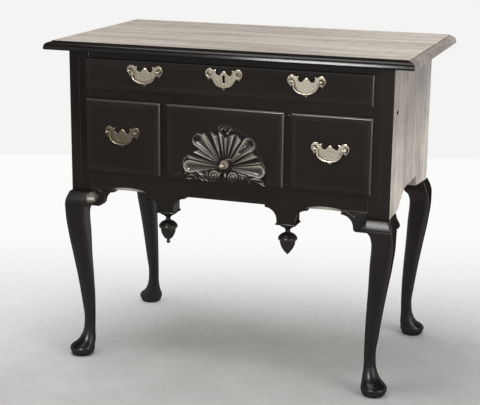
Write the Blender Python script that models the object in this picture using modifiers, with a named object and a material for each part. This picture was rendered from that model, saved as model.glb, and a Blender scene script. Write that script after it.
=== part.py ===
# Lowboy: a dressing table with one long drawer over three, on four cabriole legs.
# Units are metres. +Z is up, the front faces -Y, and the origin is on the floor below the middle of the top.

import math

import bmesh
import bpy
from mathutils import Matrix, Vector

# Overall
HEIGHT = 0.760
TOP_WIDTH = 0.860
TOP_DEPTH = 0.496
TOP_THICKNESS = 0.020
TOP_EDGE = 0.0035
TOP_ARRIS = 0.0015
TOP_OVOLO = 0.0135
TOP_FILLET = 0.0025

# Case and its boards
SIDE_OVERHANG = 0.049
FRONT_OVERHANG = 0.037
BACK_OVERHANG = 0.047
SIDE_THICKNESS = 0.018
FRAME_THICKNESS = 0.018
BACK_THICKNESS = 0.012
GAP = 0.0003

# Front frame, from the top down and from the middle out
TOP_RAIL = 0.023
TOP_RAIL_DEPTH = 0.045
LONG_OPENING = 0.0585
MIDDLE_RAIL = 0.036
BLADE_DEPTH = 0.060
LOWER_OPENING = 0.158
APRON_RAIL = 0.0495
STILE_WIDTH = 0.049
CENTRE_OPENING = 0.266
MUNTIN_WIDTH = 0.0275

# Apron: arches, plinths and the turned drops below them
ARCH_STEP = 0.0055
SHOULDER = 0.028
PLINTH_WIDTH = 0.043
PLINTH_LENGTH = 0.040
PLINTH_DEPTH = 0.040
PLINTH_OFFSET = 0.00125
CAP_PROUD = 0.002
CAP_HEIGHT = 0.004
DROP_LENGTH = 0.072
DROP_RADIUS = 0.023
DROP_NECK = 0.0062
DROP_BALL = 0.0045

# Knee brackets
BRACKET_WIDTH = 0.0595
BRACKET_RISE = 0.0045
BRACKET_DROP = 0.042
BRACKET_TOE = 0.008
BRACKET_PROUD = 0.002
SIDE_BRACKET = 0.028
SIDE_BRACKET_PROUD = 0.016
SIDE_BRACKET_DROP = 0.030
REAR_BRACKET = 0.130
REAR_BRACKET_DROP = 0.050
REAR_BRACKET_THICKNESS = 0.020

# Shaped lower edge of the sides: an ogee behind the front knee, an arch, and a step down before the rear leg
SIDE_ARCH_RISE = 0.038
SIDE_OGEE_START = 0.065
SIDE_OGEE = 0.096
SIDE_REAR = 0.130
SIDE_REAR_RISE = 0.013

# Cabriole legs: how far each level stands outside the case's side and front
LEDGE_DROP = 0.008
ROLL_HEIGHT = 0.021
KNEE_HEIGHT = 0.056
LEDGE_PROUD = (0.001, 0.015)
ROLL_PROUD = (0.0095, 0.022)
KNEE_PROUD = (0.013, 0.0212)
KNEE_TAPER = 0.012
CALF_LEVEL = 0.250
CALF_PROUD = (-0.0023, 0.0157)
CALF_HALF = 0.0193
SHIN_LEVEL = 0.130
SHIN_PROUD = (-0.0177, 0.0056)
SHIN_HALF = 0.0144
ANKLE_LEVEL = 0.090
ANKLE_PROUD = (-0.0213, 0.0037)
ANKLE_RADIUS = 0.0129
INSTEP_LEVEL = 0.045
INSTEP_PROUD = (-0.0170, 0.0085)
INSTEP_RADIUS = 0.0150
PAD_LEVEL = 0.020
PAD_PROUD = (0.0106, 0.0350)
PAD_RADIUS = 0.0298
PAD_CROWN = 0.007
PAD_BASE_RADIUS = 0.0238
POST_DEPTH = 0.017
POST_INSET = 0.005
LEG_SIDES = 16
LEG_RING_SPACING = 0.034

# Drawers
LIP_OVERLAP = 0.006
LIP_EDGE = 0.003
LIP_ROUND = 0.0045
FRONT_BODY = 0.016
DRAWER_PLAY = 0.001
DRAWER_SIDE = 0.010
DRAWER_BACK = 0.010
DRAWER_BOTTOM = 0.007
BOTTOM_RAISE = 0.005
SIDE_LOW = 0.005
BACK_LOW = 0.004
BACK_CLEARANCE = 0.020
RUNNER_HEIGHT = 0.018
RUNNER_BEARING = 0.013
GUIDE_HEIGHT = 0.030

# Carved shell on the centre drawer
NICHE_HEADROOM = 0.0235
NICHE_DEPTH = 0.006
NICHE_SILL = 0.002
SHELL_RISE = 0.0345
SHELL_MARGIN = 0.006
SHELL_LOBE = 0.016
SHELL_RELIEF = 0.0050
SHELL_HUB = 0.013
LOBE_ANGLE = math.radians(47.5)
BAND_MARGIN = 0.015
BAND_HEIGHT = 0.019
VOLUTE_RADIUS = 0.0105
VOLUTE_SPACING = 0.045

# Brasses and lock
POST_SPACING = 0.069
HANDLE_RAISE = 0.0125
LONG_HANDLE_SPACING = 0.379
PLATE = 0.0015
HEAD_RADIUS = 0.0045
HEAD_STANDOFF = 0.008
SHANK_RADIUS = 0.0022
NUT_RADIUS = 0.005
NUT_HEIGHT = 0.004
BAIL_ROD = 0.0018
BAIL_DROP = 0.027
BAIL_CLEARANCE = 0.0007
ESCUTCHEON_RAISE = 0.016
PIN_RADIUS = 0.0009
PIN_HEAD = 0.002
PIN_LENGTH = 0.009
KNOB_RADIUS = 0.0075
KNOB_REACH = 0.012
KEYHOLE_HEAD = 0.0033
KEYHOLE_SLOT = 0.0040
KEYHOLE_LENGTH = 0.0135
KEYHOLE_DROP = 0.005
LOCK_WIDTH = 0.060
LOCK_DEPTH = 0.014
LOCK_CLEARANCE = 0.009
LOCK_FLOOR = 0.012
BOLT_WIDTH = 0.024
BOLT_DEPTH = 0.006
BOLT_PLAY = 0.0005
BOLT_THROW = 0.007

# Planes and levels that the pieces share
FRONT = -TOP_DEPTH / 2 + FRONT_OVERHANG
BACK = TOP_DEPTH / 2 - BACK_OVERHANG
HALF_CASE = TOP_WIDTH / 2 - SIDE_OVERHANG
FACE_BACK = FRONT + FRAME_THICKNESS + GAP
INSIDE_BACK = BACK - BACK_THICKNESS - GAP
UNDER_TOP = HEIGHT - TOP_THICKNESS - GAP
LONG_TOP = HEIGHT - TOP_THICKNESS - TOP_RAIL
LONG_BOTTOM = LONG_TOP - LONG_OPENING
LOWER_TOP = LONG_BOTTOM - MIDDLE_RAIL
LOWER_BOTTOM = LOWER_TOP - LOWER_OPENING
ARCH = LOWER_BOTTOM - APRON_RAIL
LEDGE = ARCH - LEDGE_DROP
PLINTH_BOTTOM = ARCH - PLINTH_LENGTH
HALF_FRONT = HALF_CASE - STILE_WIDTH
MUNTIN_IN = CENTRE_OPENING / 2
MUNTIN_OUT = MUNTIN_IN + MUNTIN_WIDTH
POST_OUT = HALF_CASE - SIDE_THICKNESS - GAP
POST_IN = HALF_FRONT + POST_INSET
PLINTH_X = MUNTIN_IN + MUNTIN_WIDTH / 2 - PLINTH_OFFSET
PLINTH_IN = PLINTH_X - PLINTH_WIDTH / 2
PLINTH_OUT = PLINTH_X + PLINTH_WIDTH / 2
PLINTH_MIDDLE = FRONT + PLINTH_DEPTH / 2
BRACKET_START = HALF_FRONT - BRACKET_WIDTH
BRACKET_TOP = ARCH + BRACKET_RISE
FACE = FRONT - GAP - LIP_EDGE - LIP_ROUND
FRONT_INNER = FRONT + FRONT_BODY
DRAWER_END = INSIDE_BACK - BACK_CLEARANCE
LOCK_TOP = LONG_TOP - DRAWER_PLAY
LOCK_BOTTOM = LONG_BOTTOM + GAP + BOTTOM_RAISE + DRAWER_BOTTOM + LOCK_CLEARANCE
SHELL_CENTRE = LOWER_BOTTOM + SHELL_RISE
NICHE_RADIUS = LOWER_OPENING - SHELL_RISE - NICHE_HEADROOM
NICHE_FLOOR = FACE + NICHE_DEPTH
SHELL_REACH = NICHE_RADIUS - SHELL_MARGIN
SHELL_VALLEY = SHELL_REACH - SHELL_LOBE

# How an outline drawn flat is stood up against the front or a side
ON_FRONT = (math.pi / 2, 0.0, 0.0)
ON_SIDE = (math.pi / 2, 0.0, math.pi / 2)

FINISHES = {
    "dark_walnut": ((0.028, 0.016, 0.010), 0.34, 0.0),
    "faded_walnut": ((0.270, 0.165, 0.090), 0.42, 0.0),
    "pine": ((0.420, 0.270, 0.140), 0.70, 0.0),
    "brass": ((0.600, 0.470, 0.240), 0.36, 1.0),
    "iron": ((0.120, 0.110, 0.100), 0.55, 1.0),
}

for old in list(bpy.data.objects):
    bpy.data.objects.remove(old, do_unlink=True)
parts = bpy.data.collections.new("lowboy")
cutters = bpy.data.collections.new("cutters")
bpy.context.scene.collection.children.link(parts)
bpy.context.scene.collection.children.link(cutters)


def add(name, data, kind, place=(0.0, 0.0, 0.0), turn=(0.0, 0.0, 0.0)):
    obj = bpy.data.objects.new(name, data)
    parts.objects.link(obj)
    obj.location = place
    obj.rotation_euler = turn
    colour, roughness, metallic = FINISHES[kind]
    mat = bpy.data.materials.new(f"{name}_{kind}")
    mat.use_nodes = True
    shader = mat.node_tree.nodes["Principled BSDF"]
    shader.inputs["Base Color"].default_value = (*colour, 1.0)
    shader.inputs["Roughness"].default_value = roughness
    shader.inputs["Metallic"].default_value = metallic
    obj.data.materials.append(mat)
    return obj


def add_cutter(name, data, place=(0.0, 0.0, 0.0), turn=(0.0, 0.0, 0.0)):
    obj = bpy.data.objects.new(name, data)
    cutters.objects.link(obj)
    obj.location = place
    obj.rotation_euler = turn
    obj.hide_render = True
    obj.display_type = "WIRE"
    return obj


def boolean(obj, other, operation):
    step = obj.modifiers.new(other.name, "BOOLEAN")
    step.operation = operation
    step.object = other


def mesh_from(bm, name):
    mesh = bpy.data.meshes.new(name)
    bmesh.ops.recalc_face_normals(bm, faces=bm.faces)
    bm.to_mesh(mesh)
    bm.free()
    return mesh


def box_mesh(name, size):
    bm = bmesh.new()
    bmesh.ops.create_cube(bm, size=1.0, matrix=Matrix.Diagonal((*size, 1.0)))
    return mesh_from(bm, name)


def box(name, low, high, kind):
    low, high = Vector(low), Vector(high)
    return add(name, box_mesh(name, high - low), kind, (low + high) / 2)


def box_cutter(name, low, high):
    low, high = Vector(low), Vector(high)
    return add_cutter(name, box_mesh(name, high - low), (low + high) / 2)


# The same box on one side of the case or the other, from its inner and outer distance to the middle
def side_box(name, sign, inner, outer, low, high, kind):
    left, right = sorted((sign * inner, sign * outer))
    return box(name, (left, *low), (right, *high), kind)


def rod_mesh(name, radius, length, sides=12):
    bm = bmesh.new()
    bmesh.ops.create_cone(bm, cap_ends=True, segments=sides, radius1=radius, radius2=radius, depth=length)
    return mesh_from(bm, name)


# A flat piece: an outline, and any holes in it, filled and given half the thickness on each side
def flat_mesh(name, outlines, thickness):
    curve = bpy.data.curves.new(name, "CURVE")
    curve.dimensions = "2D"
    curve.fill_mode = "BOTH"
    curve.extrude = thickness / 2
    for outline in outlines:
        spline = curve.splines.new("POLY")
        spline.points.add(len(outline) - 1)
        for point, (across, up) in zip(spline.points, outline):
            point.co = (across, up, 0.0, 1.0)
        spline.use_cyclic_u = True
    drawn = bpy.data.objects.new(f"{name}_outline", curve)
    cutters.objects.link(drawn)
    bpy.context.view_layer.update()
    filled = bpy.data.meshes.new_from_object(drawn.evaluated_get(bpy.context.evaluated_depsgraph_get()))
    bm = bmesh.new()
    bm.from_mesh(filled)
    bmesh.ops.remove_doubles(bm, verts=bm.verts, dist=0.00001)
    bmesh.ops.dissolve_limit(bm, angle_limit=0.001, verts=bm.verts, edges=bm.edges)
    bpy.data.objects.remove(drawn, do_unlink=True)
    bpy.data.meshes.remove(filled)
    return mesh_from(bm, name)


# A turned piece: (radius, height) pairs from the top down, both ends on the axis
def turned_mesh(name, profile):
    mesh = bpy.data.meshes.new(name)
    edges = [(i, i + 1) for i in range(len(profile) - 1)]
    mesh.from_pydata([(radius, 0.0, height) for radius, height in profile], edges, [])
    return mesh


def turn_round(obj, steps):
    screw = obj.modifiers.new("turning", "SCREW")
    screw.steps = steps
    screw.render_steps = steps
    screw.use_merge_vertices = True
    screw.merge_threshold = 0.00005


def loft_mesh(name, rings):
    bm = bmesh.new()
    loops = [[bm.verts.new(point) for point in ring] for ring in rings]
    for lower, upper in zip(loops, loops[1:]):
        for i, corner in enumerate(lower):
            j = (i + 1) % len(lower)
            bm.faces.new((corner, lower[j], upper[j], upper[i]))
    bm.faces.new(loops[0])
    bm.faces.new(loops[-1])
    return mesh_from(bm, name)


def arc(centre, radii, start, end, steps):
    points = []
    for i in range(steps + 1):
        angle = math.radians(start + (end - start) * i / steps)
        points.append((centre[0] + radii[0] * math.cos(angle), centre[1] + radii[1] * math.sin(angle)))
    return points


def flipped(outline):
    return [(-across, up) for across, up in reversed(outline)]


def build_top():
    under = HEIGHT - TOP_THICKNESS
    round_low = under + TOP_EDGE
    round_rise = TOP_THICKNESS - TOP_EDGE - TOP_FILLET
    profile = [(TOP_ARRIS, under), (0.0, under + TOP_ARRIS)]
    for inset, rise in arc((TOP_OVOLO, 0.0), (-TOP_OVOLO, round_rise), 0, 90, 5):
        profile.append((inset, round_low + rise))
    profile.append((TOP_OVOLO + TOP_FILLET, HEIGHT - TOP_FILLET))
    profile.append((TOP_OVOLO + TOP_FILLET, HEIGHT))
    rings = []
    for inset, level in profile:
        half = TOP_WIDTH / 2 - inset
        near = -TOP_DEPTH / 2 + inset
        far = TOP_DEPTH / 2
        rings.append([(-half, near, level), (half, near, level), (half, far, level), (-half, far, level)])
    add("top_board", loft_mesh("top_board", rings), "faded_walnut")


def build_sides_and_back():
    low = LEDGE + GAP
    outline = [(FACE_BACK, UNDER_TOP), (FACE_BACK, low)]
    ogee_steps = 8
    for i in range(ogee_steps + 1):
        share = i / ogee_steps
        rise = SIDE_ARCH_RISE * (1 - math.cos(math.pi * share)) / 2
        outline.append((FRONT + SIDE_OGEE_START + SIDE_OGEE * share, low + rise))
    step = BACK - SIDE_REAR
    outline += [(step, low + SIDE_ARCH_RISE), (step, low + SIDE_REAR_RISE), (BACK, low), (BACK, UNDER_TOP)]
    for name, sign in (("left_side", -1), ("right_side", 1)):
        place = (sign * (HALF_CASE - SIDE_THICKNESS / 2), 0.0, 0.0)
        add(name, flat_mesh(name, [outline], SIDE_THICKNESS), "faded_walnut", place, ON_SIDE)
    box("back_board", (-POST_OUT, BACK - BACK_THICKNESS, low), (POST_OUT, BACK, UNDER_TOP), "pine")


def bolt_span():
    near = FRONT_INNER + (LOCK_DEPTH - BOLT_DEPTH) / 2
    low = Vector((-BOLT_WIDTH / 2, near, LOCK_BOTTOM + LOCK_FLOOR))
    return low, Vector((BOLT_WIDTH / 2, near + BOLT_DEPTH, LOCK_TOP - BOLT_PLAY))


def build_front_frame():
    face_depth = FRONT + FRAME_THICKNESS
    end = HALF_FRONT - GAP
    for side, sign in (("left", -1), ("right", 1)):
        stile = ((FRONT, LEDGE + GAP), (face_depth, UNDER_TOP))
        side_box(f"{side}_stile", sign, HALF_FRONT, HALF_CASE, *stile, "dark_walnut")
        muntin = ((FRONT, LOWER_BOTTOM + GAP), (face_depth, LOWER_TOP - GAP))
        side_box(f"{side}_muntin", sign, MUNTIN_IN, MUNTIN_OUT, *muntin, "dark_walnut")
    box("middle_rail", (-end, FRONT, LOWER_TOP), (end, FRONT + BLADE_DEPTH, LONG_BOTTOM), "dark_walnut")
    rail = box("top_rail", (-end, FRONT, LONG_TOP), (end, FRONT + TOP_RAIL_DEPTH, UNDER_TOP), "dark_walnut")
    bolt_low, bolt_high = bolt_span()
    slack = Vector((2 * BOLT_PLAY, 2 * BOLT_PLAY, 2 * BOLT_PLAY))
    mortise_high = bolt_high + slack + Vector((0.0, 0.0, BOLT_THROW))
    boolean(rail, box_cutter("bolt_mortise", bolt_low - slack, mortise_high), "DIFFERENCE")


# The end of an arch: a small step, then a quarter round down to the plinth or the bracket
def shoulder(step_x, side):
    centre = (step_x, ARCH - ARCH_STEP - SHOULDER)
    return [(step_x, ARCH)] + arc(centre, (side * SHOULDER, SHOULDER), 90, 0, 6)


# The apron is one board with three arches sawn out of it and a block glued behind each plinth
def build_apron():
    end = HALF_FRONT - GAP
    below = PLINTH_BOTTOM - SHOULDER
    low = (-end, FRONT, PLINTH_BOTTOM)
    apron = box("front_apron", low, (end, FRONT + FRAME_THICKNESS, LOWER_BOTTOM), "dark_walnut")
    centre = shoulder(PLINTH_IN - SHOULDER, 1) + [(PLINTH_IN, below)]
    side = [(PLINTH_OUT, below)] + shoulder(PLINTH_OUT + SHOULDER, -1)[::-1]
    side += [(BRACKET_START, ARCH), (BRACKET_START, BRACKET_TOP + GAP)]
    side += [(HALF_CASE, BRACKET_TOP + GAP), (HALF_CASE, below)]
    arches = {"centre_arch": centre + flipped(centre), "right_arch": side, "left_arch": flipped(side)}
    for name, outline in arches.items():
        arch = add_cutter(name, flat_mesh(name, [outline], 4 * FRAME_THICKNESS), (0.0, FRONT, 0.0), ON_FRONT)
        boolean(apron, arch, "DIFFERENCE")
    block_top = LOWER_BOTTOM - RUNNER_HEIGHT - GAP
    for name, x in (("left_plinth_block", -PLINTH_X), ("right_plinth_block", PLINTH_X)):
        low = (x - PLINTH_WIDTH / 2 + GAP, FRONT + FRAME_THICKNESS / 2, PLINTH_BOTTOM + GAP)
        high = (x + PLINTH_WIDTH / 2 - GAP, FRONT + PLINTH_DEPTH, block_top)
        boolean(apron, box_cutter(name, low, high), "UNION")


def drop_profile(with_ball):
    cavetto = 0.86 * DROP_RADIUS
    neck = CAP_HEIGHT + 0.22 * DROP_LENGTH
    cup = CAP_HEIGHT + 0.49 * DROP_LENGTH
    tip = CAP_HEIGHT + DROP_LENGTH
    profile = [(0.0, CAP_HEIGHT / 2), (cavetto, CAP_HEIGHT / 2), (cavetto, neck - 0.11 * DROP_LENGTH)]
    profile += [(1.9 * DROP_NECK, neck - 0.05 * DROP_LENGTH), (DROP_NECK, neck)]
    profile += [(1.5 * DROP_NECK, cup - 0.18 * DROP_LENGTH), (0.84 * DROP_RADIUS, cup - 0.10 * DROP_LENGTH)]
    profile += [(DROP_RADIUS, cup), (0.89 * DROP_RADIUS, cup + 0.06 * DROP_LENGTH)]
    profile += [(0.82 * DROP_RADIUS, cup + 0.11 * DROP_LENGTH)]
    profile += [(0.62 * DROP_RADIUS, cup + 0.28 * DROP_LENGTH)]
    profile += [(0.34 * DROP_RADIUS, cup + 0.40 * DROP_LENGTH)]
    if with_ball:
        profile += [(0.6 * DROP_BALL, tip - DROP_BALL), (DROP_BALL, tip)]
        profile += [(0.7 * DROP_BALL, tip + 0.7 * DROP_BALL)]
        tip += DROP_BALL
    profile.append((0.0, tip))
    return [(radius, -depth) for radius, depth in profile]


def build_drop(name, sign, with_ball):
    top = PLINTH_BOTTOM - GAP
    x = sign * PLINTH_X
    half_width = PLINTH_WIDTH / 2 + CAP_PROUD
    half_depth = PLINTH_DEPTH / 2 + CAP_PROUD
    low = (x - half_width, PLINTH_MIDDLE - half_depth, top - CAP_HEIGHT)
    drop = box(name, low, (x + half_width, PLINTH_MIDDLE + half_depth, top), "dark_walnut")
    turned = turned_mesh(f"{name}_turning", drop_profile(with_ball))
    turning = add_cutter(f"{name}_turning", turned, (x, PLINTH_MIDDLE, top))
    turn_round(turning, 14)
    boolean(drop, turning, "UNION")


def build_front_brackets():
    thickness = FRAME_THICKNESS + BRACKET_PROUD
    place = (0.0, FRONT + (FRAME_THICKNESS - BRACKET_PROUD) / 2, 0.0)
    end = HALF_FRONT - GAP
    step = BRACKET_START + GAP
    bottom = ARCH - BRACKET_DROP
    curve = shoulder(step, 1)
    toe = (curve[-1][0] + BRACKET_TOE, bottom + BRACKET_TOE)
    outline = [(step, BRACKET_TOP)] + curve + arc(toe, (BRACKET_TOE, BRACKET_TOE), 180, 270, 3)
    outline += [(end, bottom), (end, BRACKET_TOP)]
    for name, shape in (("left_bracket", flipped(outline)), ("right_bracket", outline)):
        add(name, flat_mesh(name, [shape], thickness), "dark_walnut", place, ON_FRONT)


# The block beside each front knee: it swells out from under the side board and dies away to the back
def build_side_bracket(name, sign):
    roll_side, roll_front, roll_inside, _ = leg_at(LEDGE - ROLL_HEIGHT)
    start = FRONT + roll_side + roll_inside - roll_front + GAP
    inner = HALF_CASE - SIDE_THICKNESS
    rings = []
    for share, swell in ((0.0, 1.0), (0.4, 0.86), (0.75, 0.5), (1.0, 0.18)):
        y = start + SIDE_BRACKET * share
        drop = SIDE_BRACKET_DROP * (0.4 + 0.6 * swell)
        outer = HALF_CASE + SIDE_BRACKET_PROUD * swell
        section = [(inner, 0.0), (HALF_CASE, 0.0), (outer, 0.55 * drop), (HALF_CASE, drop), (inner, drop)]
        rings.append([(sign * x, y, LEDGE - down) for x, down in section])
    add(name, loft_mesh(name, rings), "dark_walnut")


# Leg levels from the top down: height, outside the case's side and front, inside the side, corner rounding
def leg_levels():
    pad_inside = 2 * PAD_RADIUS - PAD_PROUD[0]
    crown_in = 0.04 * PAD_RADIUS
    base_in = PAD_RADIUS - PAD_BASE_RADIUS
    return [
        (LEDGE, *LEDGE_PROUD, STILE_WIDTH, 0.10),
        (LEDGE - ROLL_HEIGHT, *ROLL_PROUD, STILE_WIDTH, 0.12),
        (LEDGE - KNEE_HEIGHT, *KNEE_PROUD, STILE_WIDTH - KNEE_TAPER, 0.30),
        (CALF_LEVEL, *CALF_PROUD, 2 * CALF_HALF - CALF_PROUD[0], 0.65),
        (SHIN_LEVEL, *SHIN_PROUD, 2 * SHIN_HALF - SHIN_PROUD[0], 0.95),
        (ANKLE_LEVEL, *ANKLE_PROUD, 2 * ANKLE_RADIUS - ANKLE_PROUD[0], 1.0),
        (INSTEP_LEVEL, *INSTEP_PROUD, 2 * INSTEP_RADIUS - INSTEP_PROUD[0], 1.0),
        (PAD_LEVEL + PAD_CROWN, PAD_PROUD[0] - crown_in, PAD_PROUD[1] - crown_in, pad_inside - crown_in, 1.0),
        (PAD_LEVEL, *PAD_PROUD, pad_inside, 1.0),
        (0.0, PAD_PROUD[0] - base_in, PAD_PROUD[1] - base_in, pad_inside - base_in, 1.0),
    ]


# Slopes of a curve that never overshoots its levels: level at a turn, else the harmonic mean of both sides
def slopes(heights, values):
    steps = [(b - a) / (q - p) for a, b, p, q in zip(values, values[1:], heights, heights[1:])]
    found = [steps[0]]
    for before, after in zip(steps, steps[1:]):
        turning = before * after <= 0
        found.append(0.0 if turning else 2 * before * after / (before + after))
    found.append(steps[-1])
    return found


def leg_at(height):
    levels = list(reversed(leg_levels()))
    heights = [level[0] for level in levels]
    i = max(k for k in range(len(heights) - 1) if heights[k] <= height)
    span = heights[i + 1] - heights[i]
    t = (height - heights[i]) / span
    result = []
    for column in range(1, 5):
        values = [level[column] for level in levels]
        slope = slopes(heights, values)
        start = values[i] * (1 + 2 * t) * (1 - t) ** 2 + slope[i] * span * t * (1 - t) ** 2
        end = values[i + 1] * t * t * (3 - 2 * t) + slope[i + 1] * span * t * t * (t - 1)
        result.append(start + end)
    return result


def leg_heights():
    heights = []
    levels = [level[0] for level in leg_levels()]
    for high, low in zip(levels, levels[1:]):
        count = max(1, round((high - low) / LEG_RING_SPACING))
        heights += [high + (low - high) * i / count for i in range(count)]
    return heights + levels[-1:]


# One level of a leg: a square whose corners are rounded until, at the ankle and foot, it is a circle
def leg_ring(height, sign, rear):
    side_out, front_out, inside, rounding = leg_at(height)
    half = (side_out + inside) / 2
    middle_x = HALF_CASE + side_out - half
    middle_y = half - front_out
    radius = half * rounding
    ring = []
    for i in range(LEG_SIDES):
        angle = 2 * math.pi * (i + 0.5) / LEG_SIDES
        x = middle_x + math.copysign(half - radius, math.cos(angle)) + radius * math.cos(angle)
        y = middle_y + math.copysign(half - radius, math.sin(angle)) + radius * math.sin(angle)
        ring.append((sign * x, BACK - y if rear else FRONT + y, height))
    return ring


def build_leg(name, sign, rear):
    rings = [leg_ring(height, sign, rear) for height in leg_heights()]
    leg = add(name, loft_mesh(name, rings), "dark_walnut")
    leg.data.shade_smooth()
    leg.data.set_sharp_from_angle(angle=math.radians(40))
    near = (BACK_THICKNESS if rear else FRAME_THICKNESS) + GAP
    far = near + POST_DEPTH
    y_low, y_high = (BACK - far, BACK - near) if rear else (FRONT + near, FRONT + far)
    x_low, x_high = sorted((sign * POST_IN, sign * POST_OUT))
    post = box_cutter(f"{name}_post", (x_low, y_low, LEDGE - ROLL_HEIGHT / 2), (x_high, y_high, UNDER_TOP))
    boolean(leg, post, "UNION")
    if rear:
        boolean(leg, rear_bracket(f"{name}_bracket", sign), "UNION")


# The shaped block that runs forward from a rear leg, behind the lower edge of the side
def rear_bracket(name, sign):
    end = BACK - BACK_THICKNESS - POST_DEPTH / 2
    top = LEDGE + SIDE_ARCH_RISE
    low = top - REAR_BRACKET_DROP
    middle = end - REAR_BRACKET / 2
    outline = [(end - REAR_BRACKET, top), (end, top), (end, low)]
    outline += [(end - 0.31 * REAR_BRACKET, top - 0.64 * REAR_BRACKET_DROP)]
    outline += [(end - 0.69 * REAR_BRACKET, top - 0.22 * REAR_BRACKET_DROP)]
    outline = [(y - middle, z - top) for y, z in outline]
    x = sign * (POST_OUT - REAR_BRACKET_THICKNESS / 2)
    return add_cutter(name, flat_mesh(name, [outline], REAR_BRACKET_THICKNESS), (x, middle, top), ON_SIDE)


def build_runners():
    outer = POST_IN - GAP
    inner = HALF_FRONT - RUNNER_BEARING
    long_low = LONG_BOTTOM - RUNNER_HEIGHT
    low = LOWER_BOTTOM - RUNNER_HEIGHT
    for side, sign in (("left", -1), ("right", 1)):
        long_span = ((FRONT + BLADE_DEPTH + GAP, long_low), (INSIDE_BACK, LONG_BOTTOM))
        side_box(f"{side}_long_runner", sign, inner, outer, *long_span, "pine")
        span = ((FACE_BACK, low), (INSIDE_BACK, LOWER_BOTTOM))
        side_box(f"{side}_outer_runner", sign, inner, outer, *span, "pine")
        bearing = (MUNTIN_IN - RUNNER_BEARING, MUNTIN_OUT + RUNNER_BEARING)
        runner = side_box(f"{side}_inner_runner", sign, *bearing, *span, "pine")
        left, right = sorted((sign * (MUNTIN_IN + DRAWER_PLAY), sign * (MUNTIN_OUT - DRAWER_PLAY)))
        guide_high = (right, INSIDE_BACK, LOWER_BOTTOM + GUIDE_HEIGHT)
        guide = box_cutter(f"{side}_guide", (left, FACE_BACK, LOWER_BOTTOM - RUNNER_HEIGHT / 2), guide_high)
        boolean(runner, guide, "UNION")


# The empty that carries a drawer stands on the line that the drawer slides along
def slide_empty(name, left, right, bottom, top):
    slide = bpy.data.objects.new(f"{name}_slide", None)
    parts.objects.link(slide)
    slide.location = ((left + right) / 2, FRONT, (bottom + top) / 2)
    return slide


def carry(slide, obj):
    obj.parent = slide
    obj.location = obj.location - slide.location


def front_rings(left, right, bottom, top):
    levels = [(DRAWER_PLAY, FRONT_INNER), (DRAWER_PLAY, FRONT - GAP), (-LIP_OVERLAP, FRONT - GAP)]
    for inset, depth in arc((LIP_ROUND, 0.0), (-LIP_ROUND, LIP_ROUND), 0, 90, 3):
        levels.append((inset - LIP_OVERLAP, FRONT - GAP - LIP_EDGE - depth))
    rings = []
    for inset, y in levels:
        x0, x1 = left + inset, right - inset
        z0, z1 = bottom + inset, top - inset
        rings.append([(x0, y, z0), (x1, y, z0), (x1, y, z1), (x0, y, z1)])
    return rings


def build_drawer(name, left, right, bottom, top):
    slide = slide_empty(name, left, right, bottom, top)
    front_name = f"{name}_front"
    front = add(front_name, loft_mesh(front_name, front_rings(left, right, bottom, top)), "dark_walnut")
    carry(slide, front)
    start = FRONT_INNER + GAP
    low = bottom + GAP
    high = top - SIDE_LOW
    left_out = left + DRAWER_PLAY
    right_out = right - DRAWER_PLAY
    left_in = left_out + DRAWER_SIDE
    right_in = right_out - DRAWER_SIDE
    base = low + BOTTOM_RAISE
    back_low = (left_in + GAP, DRAWER_END - DRAWER_BACK, base + DRAWER_BOTTOM + GAP)
    boards = {
        "left_side": ((left_out, start, low), (left_in, DRAWER_END, high)),
        "right_side": ((right_in, start, low), (right_out, DRAWER_END, high)),
        "back": (back_low, (right_in - GAP, DRAWER_END, high - BACK_LOW)),
        "bottom": ((left_in + GAP, start, base), (right_in - GAP, DRAWER_END, base + DRAWER_BOTTOM)),
    }
    for board, (board_low, board_high) in boards.items():
        carry(slide, box(f"{name}_{board}", board_low, board_high, "pine"))
    return slide, front


def bore(front, name, x, z, radius):
    length = 4 * (FRONT_INNER - FACE)
    rod = add_cutter(name, rod_mesh(name, radius + GAP, length), (x, FRONT, z), ON_FRONT)
    boolean(front, rod, "DIFFERENCE")


# Half of the bat-wing outline, from the peak round to the tip, in 69ths of the spacing between the posts
def plate_half():
    unit = POST_SPACING / 69
    half = [(0.0, 7.2), (3.0, 5.8), (6.0, 2.2)]
    half += arc((12.8, 3.5), (6.2, 6.2), 200, 345, 4)
    half += [(19.8, 6.4), (18.0, 9.6), (22.5, 8.0)]
    half += arc((33.0, 1.2), (10.0, 11.2), 125, -55, 7)
    half += [(35.6, -14.5), (32.5, -10.0), (27.5, -11.2), (23.5, -17.5)]
    half += [(17.5, -25.5), (10.0, -28.5), (4.5, -29.5), (2.2, -32.5), (0.0, -35.0)]
    return [(across * unit, up * unit) for across, up in half]


def plate_outline():
    half = plate_half()
    return half + flipped(half[1:-1])


def keyhole_outline():
    half_slot = KEYHOLE_SLOT / 2
    open_angle = math.degrees(math.asin(half_slot / KEYHOLE_HEAD))
    head = arc((0.0, -KEYHOLE_DROP), (KEYHOLE_HEAD, KEYHOLE_HEAD), -90 + open_angle, 270 - open_angle, 10)
    low = -KEYHOLE_DROP - KEYHOLE_LENGTH
    return head + [(-half_slot, low), (half_slot, low)]


def build_plate(name, slide, x, z, holes):
    mesh = flat_mesh(name, [plate_outline()] + holes, PLATE)
    plate = add(name, mesh, "brass", (x, FACE - GAP - PLATE / 2, z), ON_FRONT)
    carry(slide, plate)
    return plate


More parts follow.
